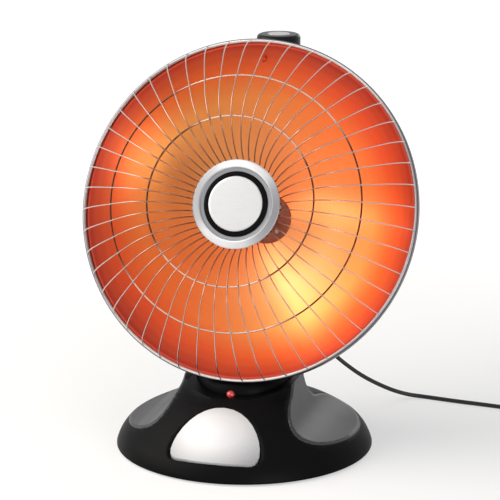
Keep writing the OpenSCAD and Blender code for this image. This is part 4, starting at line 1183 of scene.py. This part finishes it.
# %% Knob
KNOB_AXIS = Matrix.Translation((0, 0.1765, 0))
KNOB_LOW, KNOB_TOP, KNOB_RADIUS, KNOB_ROUND = 0.504, 0.5305, 0.030, 0.0055
INLAY_RADIUS = 0.0152
soft_edge = arc(
    KNOB_RADIUS - KNOB_ROUND, KNOB_TOP - KNOB_ROUND, KNOB_ROUND, [4.5 * k for k in range(21)]
)
knob_profile = [
    (0, KNOB_LOW + 0.0001), (KNOB_RADIUS - 0.001, KNOB_LOW), (KNOB_RADIUS, KNOB_LOW + 0.001),
    *soft_edge, (INLAY_RADIUS + 0.0004, KNOB_TOP), (INLAY_RADIUS + 0.0001, KNOB_TOP - 0.0003),
    (INLAY_RADIUS + 0.0001, KNOB_TOP - 0.0012), (0, KNOB_TOP - 0.0012),
]
knob = turned_piece(
    "knob_turned", knob_profile, knob_plastic, False, KNOB_AXIS, 128, "thermostat_knob", 40
)
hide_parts("knob")
inlay_top = KNOB_TOP + 0.0003
inlay_profile = [
    (0, KNOB_TOP - 0.0011), (INLAY_RADIUS, KNOB_TOP - 0.0011), (INLAY_RADIUS, inlay_top - 0.0003),
    (INLAY_RADIUS - 0.0003, inlay_top), (0.0021, inlay_top), (0.0018, inlay_top - 0.0003),
    (0.0018, KNOB_TOP - 0.0004), (0, KNOB_TOP - 0.0004),
]
inlay = turned_piece(
    "knob_cap", inlay_profile, knob_bright, False, KNOB_AXIS, 96, "thermostat_knob", 40
)
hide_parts("knob_inlay")
print("knob", len(knob.data.polygons))

# %% [markdown]
# What is left has the right shape already, so the mouldings and plates get smooth copies. The
# side panels flare in a curve that the solid has as broad flats. Their normals are rolled: each
# corner's normal follows the curve between the middles of the flats, as on the real moulding.

# %% Mouldings
IN_PLANE = 0.02
OUTWARD = 0.2

for node in (
    "back_shell", "spine_housing", "spine_cover", "pod_housing", "base_shell", "neck_column"
):
    smooth_copy(node, black_plastic)


def rolled_normals(piece, side):
    """Turns the normals of a flare that curves in x and z alone into one smooth roll."""
    mesh = piece.data
    outer = [
        face for face in mesh.polygons
        if abs(face.normal.y) < IN_PLANE and side * face.normal.x + face.normal.z > OUTWARD
    ]
    spans = {}
    for face in outer:
        angle = math.atan2(face.normal.z, side * face.normal.x)
        wide = [side * mesh.vertices[i].co.x for i in face.vertices]
        low, high = spans.get(round(angle, 2), (math.inf, -math.inf))
        spans[round(angle, 2)] = (min(low, *wide), max(high, *wide))
    knots = sorted(((low + high) / 2, angle) for angle, (low, high) in spans.items())
    normals = [Vector(corner.vector) for corner in mesh.corner_normals]
    for face in outer:
        for i in face.loop_indices:
            x = side * mesh.vertices[mesh.loops[i].vertex_index].co.x
            angle = knots[0][1] if x < knots[0][0] else knots[-1][1]
            for (x0, a0), (x1, a1) in zip(knots, knots[1:]):
                if x0 <= x <= x1:
                    angle = a0 + (a1 - a0) * (x - x0) / max(x1 - x0, 1e-9)
            normals[i] = Vector((side * math.cos(angle), 0, math.sin(angle)))
    mesh.normals_split_custom_set(normals)
    return len(knots)


for node, side in (("side_panel_left", -1), ("side_panel_right", 1)):
    panel = smooth_copy(node, grey_plastic)
    print(node, rolled_normals(panel, side), "facets rolled into one")
smooth_copy("badge_plate", badge_metal)
smooth_copy("indicator_lens", lens_red, sharp=40)
smooth_copy("vertex_plate", brown_plate, sharp=40)
smooth_copy("element_core", ceramic)
smooth_copy("rubber_feet", rubber, sharp=40)

# %% [markdown]
# Every other node keeps its own mesh, as most of them are hidden inside. They take a finish
# from this table.

# %% Finishes for the other nodes
NODES_OF = (
    (steel, "cap_backing", "vertex_plate_screws", "element_front_plate", "standoff_ring",
     "head_screws", "spine_cover_screws", "thermostat_nut", "thermostat_shaft",
     "column_screws", "bottom_plate", "base_screws", "switch_bracket"),
    (insulator, "thermal_cutoff", "thermostat", "tip_plunger", "terminal_block"),
    (switch_plastic, "tip_switch", "buzzer"),
    (cap_metal, "element_stem"),
    (rust_screw, "dish_screws"),
    (wire_sleeve, "wiring_harness"),
    (lamp_glass, "indicator_lamp"),
    (rubber, "cord_tie"),
    (brass, "plug_blades"),
)
dressed = set()
for finish, *names in NODES_OF:
    dressed.update(names)
    for name in names:
        for place in nodes[name].material_slots:
            place.material = finish
left = [n for n, o in nodes.items() if not o.hide_render and n not in dressed]
print("nodes without a finish:", left)
